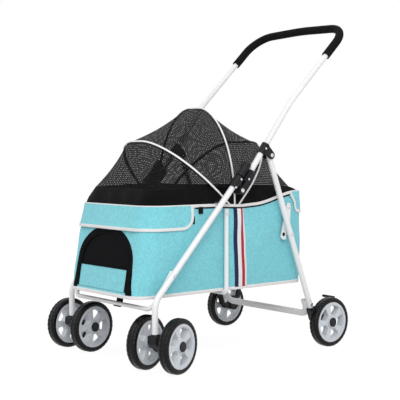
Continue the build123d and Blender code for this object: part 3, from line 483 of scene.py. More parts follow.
SLOT_FINISH: dict[str, Any] = {
    "white_tube": WHITE_PAINT,
    "black_plastic": BLACK_MOULDING,
    "steel": PLATED,
    "grip_foam": GRIP_FOAM,
    "cyan_fabric": CYAN_CANVAS,
    "black_fabric": BLACK_CANVAS,
    "black_mesh": CANOPY_NET,
    "white_spring": SPRING_WHITE,
    "board": BOARD,
    "mat": MAT_CLOTH,
    "tyre": TYRE_RUBBER,
    "rim": RIM_MOULDING,
}


class Palette:
    """Makes each finish once and hands out its material."""

    def __init__(self) -> None:
        """Start with no materials."""
        self._made: dict[str, bpy.types.Material] = {}

    def __call__(self, finish: Any) -> bpy.types.Material:
        """The material of a finish."""
        if finish.name not in self._made:
            self._made[finish.name] = finish.material()
        return self._made[finish.name]


# Surfaces


def smooth(t: Array) -> Array:
    """Smooth step: 3t^2 - 2t^3 with t held between nought and one."""
    t = np.clip(t, 0.0, 1.0)
    return t * t * (3.0 - 2.0 * t)


def ramp(value: Array, start: float, length: float) -> Array:
    """A smooth step from nought at the start to one a length further on."""
    return smooth((value - start) / length)


def hump(value: Array, middle: float, width: float) -> Array:
    """A bell curve: one at the middle, 1/e a width away from it."""
    return np.exp(-(((value - middle) / width) ** 2))


def bulged(value: Array, power: float) -> Array:
    """A value's size raised to a power, with its sign kept."""
    return np.sign(value) * np.abs(value) ** power


def resample(points: Array, count: int) -> Array:
    """Points evenly spaced along a line of points, by its running length.

    Args:
        points: the line, one point a row.
        count: how many points come back.

    Returns:
        The evenly spaced points.
    """
    run = np.concatenate(([0.0], np.cumsum(np.linalg.norm(np.diff(points, axis=0), axis=1))))
    at = np.linspace(0.0, run[-1], count)
    return np.stack([np.interp(at, run, points[:, k]) for k in range(points.shape[1])], axis=1)


def unit(vectors: Array) -> Array:
    """Vectors made one long."""
    return vectors / np.maximum(np.linalg.norm(vectors, axis=-1, keepdims=True), 1e-12)


def running(grid: Array, axis: int) -> Array:
    """Running length along one direction of a grid, in metres."""
    step = np.linalg.norm(np.diff(grid, axis=axis), axis=-1)
    return np.concatenate((np.zeros_like(np.take(step, [0], axis=axis)), np.cumsum(step, axis=axis)), axis=axis)


def grid_area(grid: Array) -> float:
    """Area of a grid: half the cross product of each cell's diagonals, added up."""
    one = grid[1:, 1:] - grid[:-1, :-1]
    two = grid[:-1, 1:] - grid[1:, :-1]
    return float(0.5 * np.linalg.norm(np.cross(one, two), axis=-1).sum())


def cells(ids: Array) -> Array:
    """The four corners of each cell, in order round it, from a grid of point numbers."""
    return np.stack((ids[:-1, :-1], ids[:-1, 1:], ids[1:, 1:], ids[1:, :-1]), axis=-1).reshape(-1, 4)


def surface(
    name: str,
    grid: Array,
    material: bpy.types.Material,
    closed: bool = False,
    keep: Array | None = None,
) -> bpy.types.Object:
    """A mesh from a grid of points, with its lengths in metres as the UV map.

    Args:
        name: the piece's name.
        grid: rows by columns by xyz; columns then rows turn to the outside.
        material: the finish.
        closed: whether the last column joins the first.
        keep: which cells stay, rows by columns; all if left out.

    Returns:
        The new object.
    """
    if closed:
        grid = np.concatenate((grid, grid[:, :1]), axis=1)
    rows, cols = grid.shape[:2]
    uv = np.stack((running(grid, 1), running(grid, 0)), axis=-1).reshape(-1, 2)
    ids = np.arange(rows * cols).reshape(rows, cols)
    uv_ids = cells(ids)
    if closed:
        ids[:, -1] = ids[:, 0]
    quads = cells(ids)
    if keep is not None:
        quads, uv_ids = quads[keep.ravel()], uv_ids[keep.ravel()]
    used, packed = np.unique(quads, return_inverse=True)
    mesh = bpy.data.meshes.new(name)
    mesh.from_pydata(grid.reshape(-1, 3)[used].tolist(), [], packed.reshape(-1, 4).tolist())
    layer = mesh.uv_layers.new(name="cloth")
    layer.data.foreach_set("uv", uv[uv_ids.ravel()].astype(np.float32).ravel())
    mesh.polygons.foreach_set("use_smooth", np.ones(len(mesh.polygons), bool))
    mesh.materials.append(material)
    mesh.update()
    made = bpy.data.objects.new(name, mesh)
    bpy.context.collection.objects.link(made)
    LOG.info("%s: %d faces", name, len(mesh.polygons))
    return made


def carried(path: Array, facing: Array, profile: Array, loop: bool = False) -> Array:
    """A closed profile carried along a path.

    Each point is the path's point plus the profile's first number times the facing direction, made square to
    the path, plus its second number times the direction across.

    Args:
        path: the points, one a row.
        facing: the outward direction at each point, or one for all.
        profile: points of the section, first outward, then across.
        loop: whether the path closes on itself.

    Returns:
        A grid with one section in each row.
    """
    if loop:
        along = unit(np.roll(path, -1, axis=0) - np.roll(path, 1, axis=0))
    else:
        along = unit(np.gradient(path, axis=0))
    facing = np.broadcast_to(np.asarray(facing, float), path.shape)
    outward = unit(facing - along * np.sum(facing * along, axis=1, keepdims=True))
    across = np.cross(along, outward)
    grid = (
        path[:, None]
        + outward[:, None] * profile[None, :, 0, None]
        + across[:, None] * profile[None, :, 1, None]
    )
    return np.concatenate((grid, grid[:1]), axis=0) if loop else grid


def ring(radius: float, sides: int = 12) -> Array:
    """A round section."""
    turn = np.linspace(0.0, TURN, sides, endpoint=False)
    return np.stack((radius * np.cos(turn), radius * np.sin(turn)), axis=1)


def flat_section(thick: float, width: float, sides: int = 20) -> Array:
    """A flat section with round edges: a squared-off ellipse, thick outward and wide across."""
    turn = np.linspace(0.0, TURN, sides, endpoint=False)
    return np.stack((thick / 2 * bulged(np.cos(turn), 0.6), width / 2 * bulged(np.sin(turn), 0.35)), axis=1)


def cord_piece(
    name: str,
    path: Array,
    facing: Array,
    profile: Array,
    material: bpy.types.Material,
    loop: bool = False,
) -> bpy.types.Object:
    """A solid strip or bead along a path, closed at its ends.

    Args:
        name: the piece's name.
        path: the points that it follows.
        facing: the outward direction.
        profile: its section.
        material: its finish.
        loop: whether it closes on itself.

    Returns:
        The new object.
    """
    grid = carried(path, facing, profile, loop)
    if not loop:
        ends = [np.repeat(grid[k].mean(axis=0)[None, None], grid.shape[1], axis=1) for k in (0, -1)]
        grid = np.concatenate((ends[0], grid, ends[1]), axis=0)
    made = surface(name, grid[:, ::-1], material, closed=True)
    weld(made)
    return made


def weld(made: bpy.types.Object) -> None:
    """Merge doubled points, drop cells that have shrunk to nothing and turn the faces outwards."""
    work = bmesh.new()
    work.from_mesh(made.data)
    bmesh.ops.remove_doubles(work, verts=work.verts, dist=1e-6)
    bmesh.ops.dissolve_degenerate(work, edges=work.edges, dist=1e-7)
    bmesh.ops.recalc_face_normals(work, faces=work.faces)
    work.to_mesh(made.data)
    work.free()


def thicken(made: bpy.types.Object, depth: float, offset: float = -1.0) -> bpy.types.Object:
    """Give a sheet its thickness.

    Args:
        made: the sheet.
        depth: the thickness in metres.
        offset: -1 thickens inwards and 1 outwards.

    Returns:
        The sheet.
    """
    wall = made.modifiers.new("thickness", "SOLIDIFY")
    wall.thickness, wall.offset, wall.use_even_offset = depth, offset, True
    return made


def ride(made: bpy.types.Object, body: Body | str, *stands_for: str) -> bpy.types.Object:
    """Let a piece move with a body and stand for CAD nodes."""
    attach(made, body.value if isinstance(body, Body) else body)
    if stands_for:
        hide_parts(*stands_for)
    return made


def declare(grid: Array) -> None:
    """Work out the flat size that a piece's grid measures; the result is not used."""
    area = grid_area(grid)


# The basket


@dataclass
class Basket:
    """The sewn basket: walls, rim and bottom piping, flaps, collar, ribbons and mat."""

    palette: Palette
    # Plan, walls and rim
    floor_z: float = 0.197
    floor_corner: float = 0.046
    rim_corner: float = 0.062
    rear_corner: float = 0.030
    front_lean: float = -0.042
    rear_out: float = 0.009
    rear_lean: float = -0.008
    side_lean: float = 0.006
    fullness: float = 0.0055
    cloth: float = 0.0022
    rim_level: float = 0.441
    rim_dip: float = 0.004
    dip_y: float = -0.031
    dip_width: float = 0.055
    rim_rise: float = 0.031
    rise_from: float = 0.03
    rise_length: float = 0.17
    floor_pole: float = 0.02
    # The walls' belly, posts, pocket and wrinkles: ramps have a start and a length
    side_ramp: tuple[float, float] = (0.6, 0.4)
    front_ramp: tuple[float, float] = (0.9, 0.1)
    post_y: float = -0.087
    post_width: float = 0.028
    post_draw: float = 0.95
    pocket: float = 0.0115
    pocket_front: tuple[float, float] = (-0.083, 0.016)
    pocket_rear: tuple[float, float] = (0.014, 0.022)
    pocket_up: tuple[float, float] = (0.45, 0.43)
    lip_up: tuple[float, float] = (0.955, 0.045)
    lip_draw: float = 0.45
    wrinkle: float = 0.0007
    # Bindings: a section's thickness and width
    bead: tuple[float, float] = (0.0042, 0.0086)
    bead_out: float = 0.0006
    hem: tuple[float, float] = (0.0048, 0.0094)
    hem_up: float = 0.0024
    # The collar
    collar_top: float = 0.487
    collar_rise: float = 0.008
    collar_peak: float = -0.12
    collar_spread: float = 0.14
    collar_side_in: float = 0.014
    collar_end_in: float = 0.026
    collar_belly: float = 0.0035
    collar_fold: float = 0.0016
    collar_slack: float = 0.001
    # The flaps
    flap_out: float = 0.0034
    flap_up: float = 0.0012
    flap_loose: float = 0.0042
    flap_wave: float = 0.0009
    flap_hang: float = 0.062
    flap_end: float = -0.209
    flap_corner: float = 0.030
    rear_flap_hang: float = 0.060
    rear_flap_end: float = 0.172
    rear_flap_slant: float = 0.016
    flap_cloth: float = 0.0018
    # The doorway's tape and the cloth hinge
    doorway_slim: float = 0.4
    doorway_foot: float = -0.008
    doorway_out: float = 0.0010
    doorway_cloth: float = 0.0012
    hinge_short: float = 0.004
    hinge_reach: float = 0.006
    hinge_back: float = -0.0034
    # Ribbons, the black strip under the rim (painted shadow of the bead, partly black lining) and straps on the long
    # walls
    thin_cloth: float = 0.0008
    ribbon: tuple[float, float] = (-0.0650, -0.0190)
    ribbon_up: tuple[float, float] = (0.022, 0.968)
    ribbon_slant: float = 0.022
    ribbon_out: float = 0.0011
    ribbon_cloth: float = 0.0009
    # Where the black strip of painted shadow and lining runs: along the wall, and shares of the way up it
    lining_y: tuple[float, float] = (-0.196, 0.170)
    shadow_and_lining_up: tuple[float, float] = (0.966, 0.988)
    wall_gap: float = 0.0008
    tabs: tuple[tuple[str, float, float, float, float, float], ...] = (
        # name, y, top, drop, width, thickness
        ("tab", -0.2035, 0.413, 0.021, 0.008, 0.0016),
        ("buckle", -0.1785, 0.438, 0.019, 0.015, 0.0042),
    )
    strap_x: float = 0.03
    strap: tuple[float, float] = (0.003, 0.030)
    strap_radius: float = 0.0078
    strap_turns: tuple[float, float] = (0.08, -0.33)
    bar_radius: float = 0.006
    # The mat: shares of the floor's loop and of its own thickness
    mat_share: float = 0.90
    mat_bulge: float = 0.05
    mat_pole: float = 0.05
    mat_side: float = 0.42
    mat_crown: float = 0.16
    half: float = field(init=False)
    front: float = field(init=False)
    rear: float = field(init=False)
    collar_edge: Array = field(init=False)

    def __post_init__(self) -> None:
        """Take the plan size from the rail round the rim."""
        low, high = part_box("rim_rail")
        self.half, self.front, self.rear = high[0], low[1], high[1]

    # Plan and heights

    def rim_z(self, y: Array) -> Array:
        """Height of the rim: level, dipping at the hoops' pivots and rising to the back."""
        dip = self.rim_dip * hump(y, self.dip_y, self.dip_width)
        return self.rim_level - dip + self.rim_rise * ramp(y, self.rise_from, self.rise_length)

    def collar_z(self, y: Array) -> Array:
        """Height of the collar's top edge: highest beside the hinges."""
        return self.collar_top + self.collar_rise * hump(y, self.collar_peak, self.collar_spread)

    def plan(self, low: Array, grow: float = 0.0) -> tuple[Array, Array, Array, Array]:
        """Half width, front, rear and front corner radius at shares of the way down the wall."""
        half = self.half - self.side_lean * low + grow
        front = self.front + self.front_lean * low - grow
        rear = self.rear + self.rear_out - self.rear_lean * low + grow
        corner = self.rim_corner + (self.floor_corner - self.rim_corner) * low + grow
        return half, front, rear, corner

    @staticmethod
    def loop_plan(side: int = 110, end: int = 96, arc: int = 14) -> tuple[Array, Array]:
        """Weights on the four corner centres and the facing angle, for points round a rounded rectangle.

        Args:
            side: points along each long side.
            end: points along the front and the rear.
            arc: points round each corner.

        Returns:
            Weights, one row a point, and angles.
        """
        eye = np.eye(4)
        mid = (eye[0] + eye[1]) / 2

        def run(a: Array, b: Array, count: int) -> Array:
            """Points from one corner centre to another."""
            t = np.linspace(0.0, 1.0, count, endpoint=False)[:, None]
            return a * (1 - t) + b * t

        stops = [
            (mid, eye[1], end // 2, 0.25, 0.25),
            (eye[1], eye[1], arc, 0.25, 0.5),
            (eye[1], eye[2], side, 0.5, 0.5),
            (eye[2], eye[2], arc, 0.5, 0.75),
            (eye[2], eye[3], end, 0.75, 0.75),
            (eye[3], eye[3], arc, 0.75, 1.0),
            (eye[3], eye[0], side, 1.0, 1.0),
            (eye[0], eye[0], arc, 1.0, 1.25),
            (eye[0], mid, end // 2, 1.25, 1.25),
        ]
        weights = np.concatenate([run(a, b, n) for a, b, n, _, _ in stops])
        angles = np.concatenate([np.linspace(p, q, n, endpoint=False) for _, _, n, p, q in stops]) * TURN
        return weights, angles

    def loops(self, low: Array, grow: float = 0.0) -> tuple[Array, Array, Array, Array]:
        """Points round the wall at shares of the way down it.

        Args:
            low: shares, one row each.
            grow: margin outwards.

        Returns:
            x, y and the outward direction's x and y.
        """
        weights, angles = self.loop_plan()
        half, front, rear, ahead = (value[:, None] for value in self.plan(low, grow))
        behind = self.rear_corner + grow
        side = np.array([1.0, -1.0, -1.0, 1.0])
        at_rear, at_front = np.array([1.0, 1.0, 0, 0]), np.array([0, 0, 1.0, 1.0])
        corner = behind * (weights @ at_rear) + ahead * (weights @ at_front)
        x = (weights @ (side * at_rear)) * (half - behind) + (weights @ (side * at_front)) * (half - ahead)
        y = (weights @ at_rear) * (rear - behind) + (weights @ at_front) * (front + ahead)
        x, y = x + corner * np.cos(angles), y + corner * np.sin(angles)
        ones = np.ones_like(x)
        return x, y, np.cos(angles) * ones, np.sin(angles) * ones

    def swell(self, x: Array, y: Array, out_x: Array, out_y: Array, up: Array) -> Array:
        """How far the cloth stands out from the straight wall.

        A belly between floor and rim, drawn in beside the posts, the pocket over the hoops' pivots, and faint
        drag lines that run down and back from the rim. The front wall stays flat for the door.

        Args:
            x: points across.
            y: points along.
            out_x: outward direction across.
            out_y: outward direction along.
            up: share of the way up the wall.

        Returns:
            The outward distance in metres.
        """
        sides = ramp(np.abs(out_x), *self.side_ramp)
        loose = 1 - ramp(-out_y, *self.front_ramp)
        post = hump(y, self.post_y, self.post_width) * sides
        belly = self.fullness * np.sin(np.pi * up) ** 0.75 * loose * (1 - self.post_draw * post)
        gate = ramp(y, *self.pocket_front) * ramp(-y, *self.pocket_rear)
        lip = 1 - self.lip_draw * ramp(up, *self.lip_up)
        pocket = gate * ramp(up, *self.pocket_up) * sides
        drag = np.sin(46.0 * y + 9.0 * up + 1.3 * np.sign(x)) + 0.6 * np.sin(71.0 * y - 17.0 * up)
        wrinkle = self.wrinkle * drag * np.sin(np.pi * up) * loose * (1 - post)
        return belly * (1 - pocket) + self.pocket * pocket * lip + wrinkle

    def wall_grid(self, rows: int = 60) -> tuple[Array, Array]:
        """The walls as a grid, bottom row first, and each point's share of the way up."""
        up = np.linspace(0.0, 1.0, rows)
        x, y, out_x, out_y = self.loops(1.0 - up)
        share = up[:, None] * np.ones_like(x)
        out = self.swell(x, y, out_x, out_y, share)
        z = self.floor_z + share * (self.rim_z(y) - self.floor_z)
        return np.stack((x + out * out_x, y + out * out_y, z), axis=-1), share

    def side_points(self, side: int, y: Array, up: Array, grow: float) -> Array:
        """Points on a long wall's cloth.

        Args:
            side: 1 for the left and -1 for the right.
            y: places along the wall.
            up: shares of the way up.
            grow: margin outwards.

        Returns:
            The points.
        """
        half = self.plan(1.0 - up)[0] + grow
        facing = np.full_like(y, float(side))
        out = self.swell(half * side, y, facing, np.zeros_like(y), up)
        z = self.floor_z + up * (self.rim_z(y) - self.floor_z)
        return np.stack((side * (half + out), y, z), axis=-1)

    # Pieces

    def build(self, door: "Door") -> None:
        """Make every sewn piece of the basket.

        Args:
            door: the doorway that is cut from the front wall.
        """
        self.walls(door)
        self.doorway(door)
        self.hinge_cloth(door)
        self.floor()
        self.piping()
        self.collar()
        self.flap("front_flap", -1, self.flap_hang, self.flap_end)
        self.flap("rear_flap", 1, self.rear_flap_hang, self.rear_flap_end)
        self.ribbons()
        self.shadow_and_lining()
        self.straps()
        self.mat()

    def walls(self, door: "Door") -> None:
        """The four walls in one wrap of cloth, with the doorway cut out."""
        grid, _ = self.wall_grid()
        grid, keep = door.cut(grid)
        made = thicken(surface("basket_walls", grid, self.palette(CYAN_CANVAS), True, keep), self.cloth)
        ride(made, Body.FRAME, "basket")

    def floor(self) -> None:
        """The cloth floor: the bottom loop drawn in to a small ring at its middle."""
        x, y, _, _ = self.loops(np.ones(1))
        rim = np.stack((x[0], y[0], np.full_like(x[0], self.floor_z)), axis=-1)
        share = np.linspace(self.floor_pole, 1.0, 9)[:, None, None]
        middle = np.array([0.0, rim[:, 1].mean(), self.floor_z])
        grid = middle + (rim[None] - middle) * share
        made = surface("basket_floor", grid[::-1], self.palette(BLACK_CANVAS), True)
        ride(thicken(made, self.cloth, 1.0), Body.FRAME)

    def outward(self, points: Array) -> Array:
        """The level direction away from the basket: along the nearer of its two axes, rounded at the corners."""
        away = points[..., :2] - np.array([0.0, (self.front + self.rear) / 2])
        away = away / np.array([self.half, (self.rear - self.front) / 2])
        away = unit(bulged(away, 9))
        return np.concatenate((away, np.zeros((*away.shape[:-1], 1))), axis=-1)

    def piping(self) -> None:
        """White bindings along the rim and the bottom seam."""
        grid, _ = self.wall_grid()
        _, _, out_x, out_y = self.loops(np.zeros(1))
        facing = np.stack((out_x[0], out_y[0], np.zeros_like(out_x[0])), axis=-1)
        rim = grid[-1] + facing * self.bead_out
        made = cord_piece("rim_piping", rim, facing, flat_section(*self.bead), self.palette(PIPING), True)
        ride(made, Body.FRAME, "rim_rail")
        foot = grid[0] + np.array([0.0, 0.0, self.hem_up])
        made = cord_piece("bottom_piping", foot, facing, flat_section(*self.hem), self.palette(PIPING), True)
        ride(made, Body.FRAME)

    def doorway(self, door: "Door") -> None:
        """The wide black tape sewn round the doorway, which follows the wall round its corners."""
        insets = np.linspace(-door.gap, -door.tape, 7)
        lines = np.stack([door.border(inset, 180, self.doorway_foot) for inset in insets])
        slim = 1.0 - self.doorway_slim * smooth(lines[:1, :, 1:] / door.straight)
        lines = lines[:1] + (lines - lines[:1]) * slim
        x, h = lines[..., 0], lines[..., 1]
        z = door.origin[2] + h * door.up[2]
        low = 1.0 - (z - self.floor_z) / (self.rim_level - self.floor_z)
        half, front, _, corner = self.plan(low)
        over = np.clip(np.abs(x) - (half - corner), 0.0, corner)
        facing = np.stack((np.sign(x) * over / corner, -np.sqrt(1 - (over / corner) ** 2), 0 * x), axis=-1)
        y = front + corner + corner * facing[..., 1]
        grid = np.stack((x, y, z), axis=-1) + facing * self.doorway_out
        made = surface("doorway_tape", grid, self.palette(DOOR_TAPE))
        ride(thicken(made, self.doorway_cloth, 0.0), Body.FRAME)

    def hinge_cloth(self, door: "Door") -> None:
        """The strip of cloth behind the door's lower edge that it turns on."""
        x = np.linspace(-1.0, 1.0, 30) * (door.half - self.hinge_short)
        x, h = np.meshgrid(x, np.linspace(-self.hinge_reach, self.hinge_reach, 3))
        made = surface("door_hinge_cloth", door.at(x, h, self.hinge_back), self.palette(CYAN_CANVAS))
        ride(thicken(made, self.thin_cloth, 0.0), Body.FRAME)

    def collar(self) -> None:
        """The black collar: from the rim's seam up and in to the net, with soft folds."""
        rim = self.wall_grid()[0][-1]
        share = np.linspace(0.0, 1.0, 18)[:, None]
        squeeze_x = (self.half - self.collar_side_in) / self.half
        centre = (self.front + self.rear) / 2
        squeeze_y = 1.0 - self.collar_end_in / ((self.rear - self.front) / 2)
        top_x, top_y, out_x, out_y = (value[0] for value in self.loops(np.zeros(1)))
        top = np.stack((top_x * squeeze_x, centre + (top_y - centre) * squeeze_y), axis=-1)
        self.collar_edge = np.column_stack((top, self.collar_z(top[:, 1])))
        base = rim[None] * (1 - share[..., None]) + self.collar_edge[None] * share[..., None]
        run = np.arctan2(top[:, 1] - centre, top[:, 0])
        folds = self.collar_fold * np.sin(23.0 * run + 2.5 * share) * np.sin(np.pi * share)
        belly = self.collar_belly * np.sin(np.pi * share) + folds
        facing = np.stack((out_x, out_y, np.zeros_like(out_x)), axis=-1)
        pocketed = np.clip(np.abs(rim[:, 0]) - self.half - self.collar_slack, 0.0, None)
        base[..., 0] -= np.sign(rim[:, 0]) * pocketed * smooth(share * 6.0) * (1 - share)
        grid = base + facing[None] * belly[..., None]
        made = surface("canopy_collar", grid, self.palette(BLACK_CANVAS), True)
        ride(thicken(made, self.flap_cloth), Body.FRAME, "canopy_band")

    def run_round(self, end: int, low: Array, stop: Array, grow: float) -> Array:
        """Points from one side round an end of the basket to the other side.

        Args:
            end: -1 for the front and 1 for the rear.
            low: shares of the way down, one row each.
            stop: where along the sides each row begins and ends.
            grow: margin outwards.

        Returns:
            Rows by columns by x and y.
        """
        half, front, rear, corner = (value[:, None] for value in self.plan(low, grow))
        reach = -front if end < 0 else rear
        corner = corner if end < 0 else np.full_like(corner, self.rear_corner + grow)
        stop = stop * end
        t = np.linspace(0.0, 1.0, 40, endpoint=False)[None]
        arc = np.linspace(0.0, 0.25, 16, endpoint=False)[None] * TURN
        side = np.broadcast_to(half, (len(low), t.shape[1]))
        straight = stop + (reach - corner - stop) * t
        x = [
            -side,
            -(half - corner) - corner * np.cos(arc),
            (half - corner) * (2 * np.linspace(0.0, 1.0, 80, endpoint=False)[None] - 1),
            (half - corner) + corner * np.sin(arc),
            side,
        ]
        y = [
            straight,
            (reach - corner) + corner * np.sin(arc),
            np.broadcast_to(reach, (len(low), 80)),
            (reach - corner) + corner * np.cos(arc),
            straight[:, ::-1],
        ]
        return np.stack((np.concatenate(x, axis=1), end * np.concatenate(y, axis=1)), axis=-1)

    def flap(self, name: str, end: int, hang: float, stop: float) -> None:
        """A flap that hangs over the rim at one end, piped along its free edge.

        Args:
            name: the piece and the node that it stands for.
            end: -1 for the front and 1 for the rear.
            hang: how far it hangs.
            stop: where along the sides it ends.
        """
        rows = np.linspace(0.0, 1.0, 22)
        low = rows * hang / (self.rim_level - self.floor_z)
        slant = self.rear_flap_slant if end > 0 else 0.0
        plan = self.run_round(end, low, stop + slant * rows[:, None], self.flap_out)
        columns = running(np.concatenate((plan, np.zeros((*plan.shape[:2], 1))), axis=-1), 1)[0]
        edge = np.minimum(columns, columns[-1] - columns)
        radius = self.flap_corner
        inside = np.clip(radius - edge, 0.0, radius)
        lift = radius - np.sqrt(radius**2 - inside**2)
        top = self.rim_z(plan[0, :, 1]) + self.flap_up
        z = top - rows[:, None] * (hang - lift)
        corner_out = self.outward(plan)[..., :2]
        wave = self.flap_wave * np.sin(34.0 * columns + 3.0 * rows[:, None]) * rows[:, None]
        loose = self.flap_loose * rows[:, None] ** 1.6 + wave
        plan = plan + corner_out * loose[..., None]
        grid = np.concatenate((plan, z[..., None]), axis=-1)
        grid = grid[:, ::-1] if end > 0 else grid
        made = surface(name + "_cloth", grid[::-1], self.palette(CYAN_CANVAS))
        ride(thicken(made, self.flap_cloth, 0.0), Body.FRAME, name)
        declare(grid)
        border = resample(np.concatenate((grid[:-1, 0], grid[-1], grid[-2::-1, -1])), 320)
        section = flat_section(*self.bead)
        bead = cord_piece(name + "_piping", border, self.outward(border), section, self.palette(PIPING))
        ride(bead, Body.FRAME)

    def patch(
        self, name: str, side: int, y: Array, up: Array, grow: float, thick: float, finish: Any
    ) -> tuple[bpy.types.Object, Array]:
        """A piece of cloth laid on a long wall.

        Args:
            name: the piece's name.
            side: 1 for the left and -1 for the right.
            y: places along the wall.
            up: shares of the way up.
            grow: margin outwards.
            thick: the cloth's thickness.
            finish: its finish.

        Returns:
            The piece and its grid.
        """
        grid = self.side_points(side, y, up, grow)
        made = surface(name, grid if side > 0 else grid[::-1], self.palette(finish))
        return ride(thicken(made, thick, 0.0), Body.FRAME), grid

    def ribbons(self) -> None:
        """A striped ribbon from rim to bottom seam on each side."""
        for side, word in SIDES:
            y, up = np.meshgrid(np.linspace(*self.ribbon, 14), np.linspace(*self.ribbon_up, 70))
            y = y + self.ribbon_slant * (1 - up)
            made, grid = self.patch(f"ribbon_{word}", side, y, up, self.ribbon_out, self.ribbon_cloth, TRICOLOUR)
            declare(grid)

    def shadow_and_lining(self) -> None:
        """A black strip under the rim's bead along each side: painted shadow of the bead, partly the black lining that
        shows there.
        """
        for side, word in SIDES:
            y, up = np.meshgrid(np.linspace(*self.lining_y, 90), np.linspace(*self.shadow_and_lining_up, 4))
            self.patch(f"lining_{word}", side, y, up, self.wall_gap, self.thin_cloth, BLACK_CANVAS)

    def straps(self) -> None:
        """Elastic tabs at the flap's ends, buckles by the legs and the strap round the front crossbar."""
        for side, word in SIDES:
            facing = (float(side), 0.0, 0.0)
            for name, y, top, drop, wide, thick in self.tabs:
                z = np.linspace(top, top - drop, 12)
                up = (z - self.floor_z) / (self.rim_level - self.floor_z)
                path = self.side_points(side, np.full_like(z, y), up, self.wall_gap + thick / 2)
                path[:, 2] = z
                strip = cord_piece(f"{name}_{word}", path, facing, flat_section(thick, wide), self.palette(WEBBING))
                ride(strip, Body.FRAME)
        low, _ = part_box("front_crossbar")
        bar = np.array([self.strap_x, low[1] + self.bar_radius, low[2] + self.bar_radius])
        turn = np.linspace(*self.strap_turns, 24) * TURN
        hook = bar + self.strap_radius * np.stack((0 * turn, np.cos(turn), np.sin(turn)), axis=1)
        start = [self.strap_x, hook[0, 1] + 0.006, self.floor_z - 0.001]
        path = resample(np.concatenate(([start], hook)), 40)
        made = cord_piece("bar_strap", path, path - bar, flat_section(*self.strap), self.palette(WEBBING))
        ride(made, Body.FRAME)

    def mat(self) -> None:
        """The padded mat: the floor's loop carried over a crowned section, drawn in under and over."""
        low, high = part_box("floor_mat")
        x, y, _, _ = self.loops(np.ones(1))
        loop = np.stack((x[0], y[0]), axis=-1)
        middle = loop.mean(axis=0)
        turn = np.linspace(-0.5, 0.5, 25) * math.pi
        share = (self.mat_share + self.mat_bulge * np.cos(turn))[:, None, None]
        ends = np.linspace(self.mat_pole, 1.0, 14)[:, None, None]
        under, over = ends * share[0], ends[::-1] * share[-1]
        plan = middle + (loop[None] - middle) * np.concatenate((under, share, over))
        thick = high[2] - low[2]
        edge = low[2] + thick * self.mat_side * (1 + np.sin(turn))
        crown = edge[-1] + thick * self.mat_crown * (1 - ends[::-1, 0, 0] ** 4)
        z = np.concatenate((np.full(len(ends), edge[0]), edge, crown))
        grid = np.concatenate((plan, np.broadcast_to(z[:, None, None], (*plan.shape[:2], 1))), axis=-1)
        made = surface("mat_pad", grid, self.palette(MAT_CLOTH), True)
        ride(made, Body.FRAME, "floor_mat")


# The door


